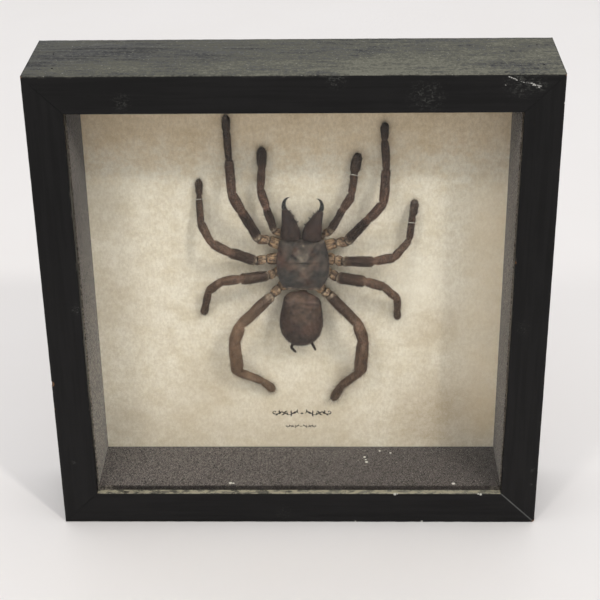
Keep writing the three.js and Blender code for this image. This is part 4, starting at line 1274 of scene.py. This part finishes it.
# Painted shade darkens the middle pit and the furrows.
shield.painted_shade = np.clip(top * (0.9 * pit + 0.55 * rays), 0, 1)
shield.flow = np.stack([x - GROOVE[0], 0.6 * from_groove * 0.3, z - GROOVE[1]], axis=2)
shield.flow /= np.maximum(np.linalg.norm(shield.flow, axis=2, keepdims=True), 1e-6)
shield.coat = np.clip(top + 0.2, 0, 1) * (1 - 0.7 * hill) * (1 - 0.75 * shield.painted_shade)
rim = np.exp(-((shield.outward[..., 1] + 0.1) / 0.22) ** 2)
shield.bristles = rim + 0.1 * top
SHIELD_TONES = [
    (-12.1, 2.1, 11, 3.4, 0.45, "63443a"), (-11.6, 6.5, 11, 3, 0.4, "5f4235"),
    (-8.6, -9, 11, 4.6, 0.45, "383a3a"), (9.6, -8, 11, 5, 0.45, "383837"),
    (10.5, 4, 12, 4, 0.35, "3a3735"),
    (-1.8, 7.5, 12.6, 1.9, 0.45, "83786b"), (1.9, 7.3, 12.6, 1.9, 0.45, "83786b"),
    (-0.8, 4.6, 13, 1.8, 0.5, "8f8374"), (1.0, 4.4, 13, 1.8, 0.5, "8f8374"),
    (0.6, -1.8, 13, 2.2, 0.35, "8d8071"), (1.2, -5.2, 12.5, 2.4, 0.25, "857668"),
    (5.5, 0.5, 12.5, 3, 0.35, "7b6353"), (-5.5, 0, 12.5, 3, 0.3, "70594a"),
    (0.3, 11.9, 13, 0.6, 0.4, "c3b49c"),
    (-6.5, -14.4, 9.2, 1.3, 0.7, "9a8976"), (-4, -15.1, 9.2, 1.3, 0.7, "9a8976"),
    (-1.4, -15.4, 9.2, 1.3, 0.7, "9a8976"), (1.2, -15.4, 9.2, 1.3, 0.7, "9a8976"),
    (3.8, -15.2, 9.2, 1.3, 0.7, "9a8976"), (6.4, -14.5, 9.2, 1.3, 0.7, "9a8976")]
hide = hide_finish("shield_hide", "2e2b2b", "5a5148", "4e3428", "15110f", 260, SHIELD_TONES)
shield_hair = hair_finish("shield_down", "262120", "6a5b51", SHIELD_TONES)
prosoma = shield.piece("prosoma_furred", hide)
grow(prosoma, coat, coat_values(41, shield_hair, SHIELD_DOWN, SHIELD_BRISTLE))
trunk = Skin(cage_from(TRUNK, 24), 36, 0.8 * MM)
trunk.roughen(0.25 * MM, 300, 1.0, 2.0)
hard_black = glossy("fang_horn", "1a1310", "0a0807")
eyes = []
for x, z, radius in EYES:
    middle = spider_place(EYE_HILL[0] + x, EYE_HILL[1] + z, EYE_LIFT - EYE_DROP * x * x)
    eyes.append(new_piece("eye", closed_mesh("eye", ball(middle, radius * MM)), hard_black))
joined(prosoma, trunk.piece("trunk", hide), *eyes)
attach(prosoma, "root")
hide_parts("cephalothorax")

# ---------------------------------------------------------------- jaws and fangs
# Two stout jaws point forward from under the shield. Each has a row of dark teeth and a brush
# of bristles along its inner side, and a black horn fang that hooks inward at its tip.
JAW_BASE_Z = 14.2
JAW_MIDDLE_X = -0.8
JAW_LEAN = math.radians(3.5)
JAW = [(14.05, 5.3, 9.4, 0, 0, 0), (14.1, 5.3, 9.4, 4.9, 2.6, 2.4), (16, 5.3, 9.5, 5.1, 3.5, 2.8),
       (18.5, 5.6, 9.3, 4.8, 3.8, 3.4), (21.5, 6.4, 9, 4.1, 3.5, 3.9), (24.5, 7.4, 8.6, 3.1, 3.0, 3.5),
       (27.2, 8.4, 8.3, 2.2, 2.3, 2.5), (29.2, 9.2, 8.1, 1.55, 1.6, 1.7), (29.7, 9.3, 8, 0, 0, 0)]
TEETH = 8
TOOTH_LENGTH = 2.9
TOOTH_RADIUS = 0.85
FANG_SIDES = 8
JAW_DOWN = (10, 0.6, 0.036, 0.3, 1.6, 0.4)
JAW_BRISTLE = (1.6, 1.8, 0.05, 0.3, 0.6, 0.5)

jaw_hide = hide_finish("jaw_hide", "292120", "43352e", "3f2e28", "140f0e", 420)
jaw_hair = hair_finish("jaw_bristle", "1e1614", "543f37")
tooth_horn = glossy("tooth_horn", "2a1a13", "120b08", 0.3)
for side, mirror in (("left", -1), ("right", 1)):
    def jaw_place(x, z, lift, mirror=mirror):
        """A place on a jaw drawn for the right side, mirrored if need be and leaned."""
        x, z = mirror * x, z - JAW_BASE_Z
        leaned_x = x * math.cos(JAW_LEAN) + z * math.sin(JAW_LEAN)
        leaned_z = z * math.cos(JAW_LEAN) - x * math.sin(JAW_LEAN)
        return spider_place(JAW_MIDDLE_X + leaned_x, JAW_BASE_Z + leaned_z, lift)

    jaw = Skin(cage_from(JAW, 24, jaw_place), 44, 0.35 * MM)
    jaw.sink(0.1 * MM * np.ones_like(jaw.girth))
    jaw.roughen(0.22 * MM, 380, 3.0, 6.0 + mirror)
    jaw.measure()
    inner = np.clip(-mirror * jaw.outward[..., 0] * 1.6 - 0.5, 0, 1)
    forward = np.clip((jaw.reach - 4 * MM) / (8 * MM), 0, 1)[:, None]
    jaw.bristles = 0.3 + 2 * inner * forward
    jaw.coat = (0.6 + 0.4 * np.clip(-jaw.outward[..., 1], 0, 1)) * (1 - 0.6 * inner)
    piece = jaw.piece(f"jaw_{side}_furred", jaw_hide)
    grow(piece, coat, coat_values(51 + mirror, jaw_hair, JAW_DOWN, JAW_BRISTLE))
    teeth = bmesh.new()
    line = between([(row[1] - row[3], row[0], row[2]) for row in JAW[4:-1]], np.linspace(0, 1, 4),
                   (np.arange(TEETH) + 0.3) / TEETH)
    for index, (tx, tz, lift) in enumerate(line):
        length = TOOTH_LENGTH * (0.85 + 0.25 * math.sin(2.3 * index + mirror)) * MM
        aim = (jaw_place(tx - 0.8, tz + 0.6, lift + 0.1) - jaw_place(tx, tz, lift)).to_track_quat("Z", "Y")
        foot = jaw_place(tx + 1.0, tz - 0.8, lift + 0.8)
        shape = Matrix.LocRotScale(foot, aim, None) @ Matrix.Translation((0, 0, length / 2))
        bmesh.ops.create_cone(teeth, cap_ends=True, segments=9, radius1=TOOTH_RADIUS * MM,
                              radius2=0.2 * MM, depth=length, matrix=shape)
    mesh = bpy.data.meshes.new("teeth")
    teeth.to_mesh(mesh)
    teeth.free()
    smooth_up_to(mesh, 60)
    joined(piece, new_piece("teeth", mesh, tooth_horn))
    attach(piece, "root")
    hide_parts(f"chelicera_{side}")

    fang = Skin(cage_of(f"fang_{side}", FANG_SIDES), 24, 0.16 * MM)
    piece = fang.piece(f"fang_{side}_horn", hard_black)
    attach(piece, "root")
    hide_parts(f"fang_{side}")

# ---------------------------------------------------------------- abdomen
# The dried abdomen: a soft sack that wrinkled across its front as it shrank, under a thick
# brown down, on a narrow stalk, with two long finger-like spinnerets behind.
SACK = [
    (-14.9, 0, 6, 0, 0, 0), (-15, 0, 6, 1.9, 1.4, 1.7), (-16.2, 0, 6, 2.1, 1.4, 1.8),
    (-17.4, -0.1, 7, 2.8, 1.6, 2.2), (-18.2, -0.3, 7.9, 6.4, 3.6, 3.4), (-20, -0.5, 8.5, 9.2, 5.8, 5.2),
    (-24, -0.7, 9, 10.1, 7, 6.4), (-29.5, -0.9, 9, 11, 7.8, 7), (-34.5, -1, 9, 11.4, 8, 7.2),
    (-39, -1, 9, 10.7, 7.4, 6.8),
    (-42.5, -0.8, 8.6, 9, 6.2, 5.8), (-45, -0.6, 8.2, 6.9, 4.8, 4.6), (-46.6, -0.5, 8, 4.6, 3, 3),
    (-47, -0.5, 8, 0, 0, 0)]
SPINNERETS = [
    [(-44.5, -5, 7, 0, 0, 0), (-44.6, -5, 7, 0.8, 0.8, 0.8), (-48.5, -5.8, 6.8, 0.8, 0.8, 0.8),
     (-51.2, -6.6, 6, 0.7, 0.7, 0.7), (-54.4, -4.6, 5.1, 0.55, 0.55, 0.55), (-54.9, -4.3, 5, 0, 0, 0)],
    [(-44.9, 3.6, 7, 0, 0, 0), (-45, 3.6, 7, 0.75, 0.75, 0.75), (-48.2, 4.3, 6.8, 0.7, 0.7, 0.7),
     (-52.9, 6, 5.4, 0.5, 0.5, 0.5), (-53.5, 6.2, 5.2, 0, 0, 0)]]
SACK_DOWN = (9, 1.0, 0.045, 0.35, 1.5, 0.5)
SACK_BRISTLE = (0.9, 2.1, 0.045, 0.35, 0.9, 0.5)
FINGER_DOWN = (9, 0.45, 0.036, 0.3, 1.2, 0.4)
FINGER_BRISTLE = (2.0, 1.0, 0.04, 0.3, 0.9, 0.5)

sack = Skin(cage_from(SACK, 36), BODY_AROUND, 0.45 * MM)
sack.sink(0.25 * MM * np.ones_like(sack.girth))
x, z = in_mm(sack)
top = np.clip(-sack.outward[..., 1] * 1.8 + 0.3, 0, 1)
folds = np.sin((z + 0.045 * x ** 2 + 0.5 * np.sin(x * 0.7)) * 2.7) * np.exp(-((z + 21.5) / 2.4) ** 2)
rear = np.sin(z * 2.2) * np.exp(-((z + 43.5) / 2.0) ** 2)
sack.sink(MM * np.clip(0.35 * folds + 0.2 * rear, 0, 1) * top)
sack.roughen(0.55 * MM, 130, 1.0, 3.3)
sack.roughen(0.14 * MM, 700, 1.0, 8.1)
sack.measure()
# Painted shade darkens the folds across its front.
sack.painted_shade = np.clip(0.8 * folds, 0, 1) * top
sack.coat = np.clip(0.35 + top, 0, 1) * (1 - 0.6 * sack.painted_shade)
sack.bristles = np.clip(0.25 + top, 0, 1)
sack_hide = hide_finish("abdomen_hide", "332722", "5c4839", "523830", "1a1210", 240)
# Toned spots on the abdomen, each given as x, z and lift in mm, radius, strength and tone. Pale ones lie
# across its front and top, and the dark ones at its sides and rear are painted shade.
SACK_TONES_AND_SHADE = [
    (-7.2, -20.6, 13, 2.2, 0.55, "97867d"), (-4.6, -19, 13, 1.8, 0.5, "97867d"),
    (4.4, -19, 13, 1.8, 0.5, "97867d"), (7.2, -20.8, 13, 2.2, 0.55, "97867d"),
    (-0.3, -20.8, 14.4, 2.2, 0.3, "8a776b"), (1.5, -27, 16.5, 4.6, 0.35, "83705f"),
    (4, -35, 16, 4.5, 0.3, "7d6857"), (-8.5, -27, 13, 5, 0.7, "332e2c"),
    (-7.5, -35, 13.5, 5, 0.65, "302b2d"), (-4, -41, 13.5, 4, 0.55, "302b2d"),
    (9.5, -30, 12, 3.5, 0.5, "332c2a"),
    (5, -42.5, 12.5, 3.5, 0.5, "352d2a"), (0, -46, 9.6, 3.4, 0.6, "282120")]
sack_hair = hair_finish("abdomen_down", "262020", "7a6659", SACK_TONES_AND_SHADE)
abdomen = sack.piece("abdomen_furred", sack_hide)
grow(abdomen, coat, coat_values(61, sack_hair, SACK_DOWN, SACK_BRISTLE))
for index, rows in enumerate(SPINNERETS):
    finger = Skin(cage_from(rows, 16), 18, 0.3 * MM)
    # The spinnerets are darkened all over with painted shade.
    finger.painted_shade += 0.6
    finger.bristles *= 1.5
    part = finger.piece(f"spinneret_{index}", sack_hide)
    grow(part, coat, coat_values(71 + index, jaw_hair, FINGER_DOWN, FINGER_BRISTLE))
    joined(abdomen, part)
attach(abdomen, "root")
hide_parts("abdomen")

# ---------------------------------------------------------------- ties
# Loops of thin two-ply thread over three feet, with both ends pushed through the sheet.
THREAD_RADIUS = 0.15 * MM
THREAD_RING = 6
THREAD_SIDES = 12
THREAD_STATIONS = 40
PLY_TURN = 2 * math.pi / (0.9 * MM)

thread, tree, shader = new_finish("waxed_thread", Roughness=0.45, Specular_IOR_Level=0.5)
wax = mottle(object_place(tree), 1200, 3, 0.6)
feed(shader, Base_Color=blend(wax, "b9b5a6", "dedbd0"))


def thread_path(node_name):
    """The middle line of a CAD loop, from one end at the sheet over to the other."""
    spots = np.unique(np.round([v.co for v in nodes[node_name].data.vertices], 7), axis=0)
    middle = spots.mean(axis=0)
    flat = (spots - middle)[:, [0, 2]]
    across = np.linalg.svd(flat, full_matrices=False)[2][0]
    order = np.argsort(np.arctan2(sheet_face - spots[:, 1], flat @ across))
    return spots[order].reshape(-1, THREAD_RING, 3).mean(axis=1)


for label in ("leg_left_2", "palp_right", "leg_right_2"):
    path = thread_path(f"tie_{label}")
    path = between(path, np.arange(len(path)), np.linspace(0, len(path) - 1, THREAD_STATIONS))
    slope = np.gradient(path, axis=0)
    slope /= np.linalg.norm(slope, axis=1, keepdims=True)
    beside = np.cross(slope, slope.mean(axis=0) + [0, 0.3, 0.9])
    beside /= np.linalg.norm(beside, axis=1, keepdims=True)
    above = np.cross(slope, beside)
    turns = 2 * np.pi * np.arange(THREAD_SIDES) / THREAD_SIDES
    ring = (np.cos(turns)[None, :, None] * beside[:, None] + np.sin(turns)[None, :, None] * above[:, None])
    cage = path[:, None] + THREAD_RADIUS * ring
    cage[0], cage[-1] = path[0], path[-1]
    loop = Skin(cage, 16, 0.14 * MM)
    ply = 0.5 + 0.5 * np.cos(2 * loop.angle[None] - loop.reach[:, None] * PLY_TURN)
    loop.sink(0.35 * THREAD_RADIUS * ply ** 2)
    piece = loop.piece(f"thread_{label}", thread)
    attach(piece, "root")
    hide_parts(f"tie_{label}")

# ---------------------------------------------------------------- back
# A square of hardboard closes the back. Eight glazier's points, pushed into the rails, hold
# it, and a saw-toothed hanger is riveted to it near the top.
hardboard, tree, shader = new_finish("hardboard", Roughness=0.8, Specular_IOR_Level=0.25)
place = object_place(tree)
fibre = mottle(object_place(tree, (520, 520, 520)), 1, 6, 0.7)
clouds = mottle(place, 40, 4, 0.55)
colour = blend(clouds, "5f4029", "7c583b")
colour = blend(ease(fibre, 0.5, 0.72, 0, 0.6), colour, "94714f")
screen = output(tree, "ShaderNodeTexWave", {"Vector": place, "Scale": 160, "Distortion": 0.6},
                "Fac", wave_type="BANDS", bands_direction="DIAGONAL")
bump = relief(fibre, 0.12 * MM, 0.6)
feed(shader, Base_Color=colour, Normal=relief(screen, 0.08 * MM, 0.5, bump))

steel, tree, shader = new_finish("plated_steel", Metallic=1.0)
place = object_place(tree)
film = ease(mottle(place, 190, 5, 0.65), 0.35, 0.7)
spots = ease(mottle(place, 480, 3, 0.7), 0.6, 0.72)
colour = blend(film, "a9a59b", "c9c6be")
colour = blend(spots * 0.5, colour, "6b5440")
scratch = mottle(object_place(tree, (300, 900, 2600)), 1, 3, 0.6)
feed(shader, Base_Color=colour, Normal=relief(scratch, 0.03 * MM, 0.4),
     Roughness=film * 0.2 + 0.28)

BOARD_ROUND = 0.35 * MM
METAL_ROUND = 0.12 * MM
closed_back = [("back_board", BOARD_ROUND, hardboard, "hardboard"),
               ("hanger", METAL_ROUND, steel, "steel"),
               ("rivet_left", METAL_ROUND, steel, "steel"), ("rivet_right", METAL_ROUND, steel, "steel")]
closed_back += [(f"point_{side}_{number}", METAL_ROUND, steel, "steel")
                for side in SIDES for number in (1, 2)]
for name, width, finish, slot in closed_back:
    piece = new_piece(f"{name}_finished", softened_mesh(name, width), finish)
    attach(piece, "root")
    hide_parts(name)
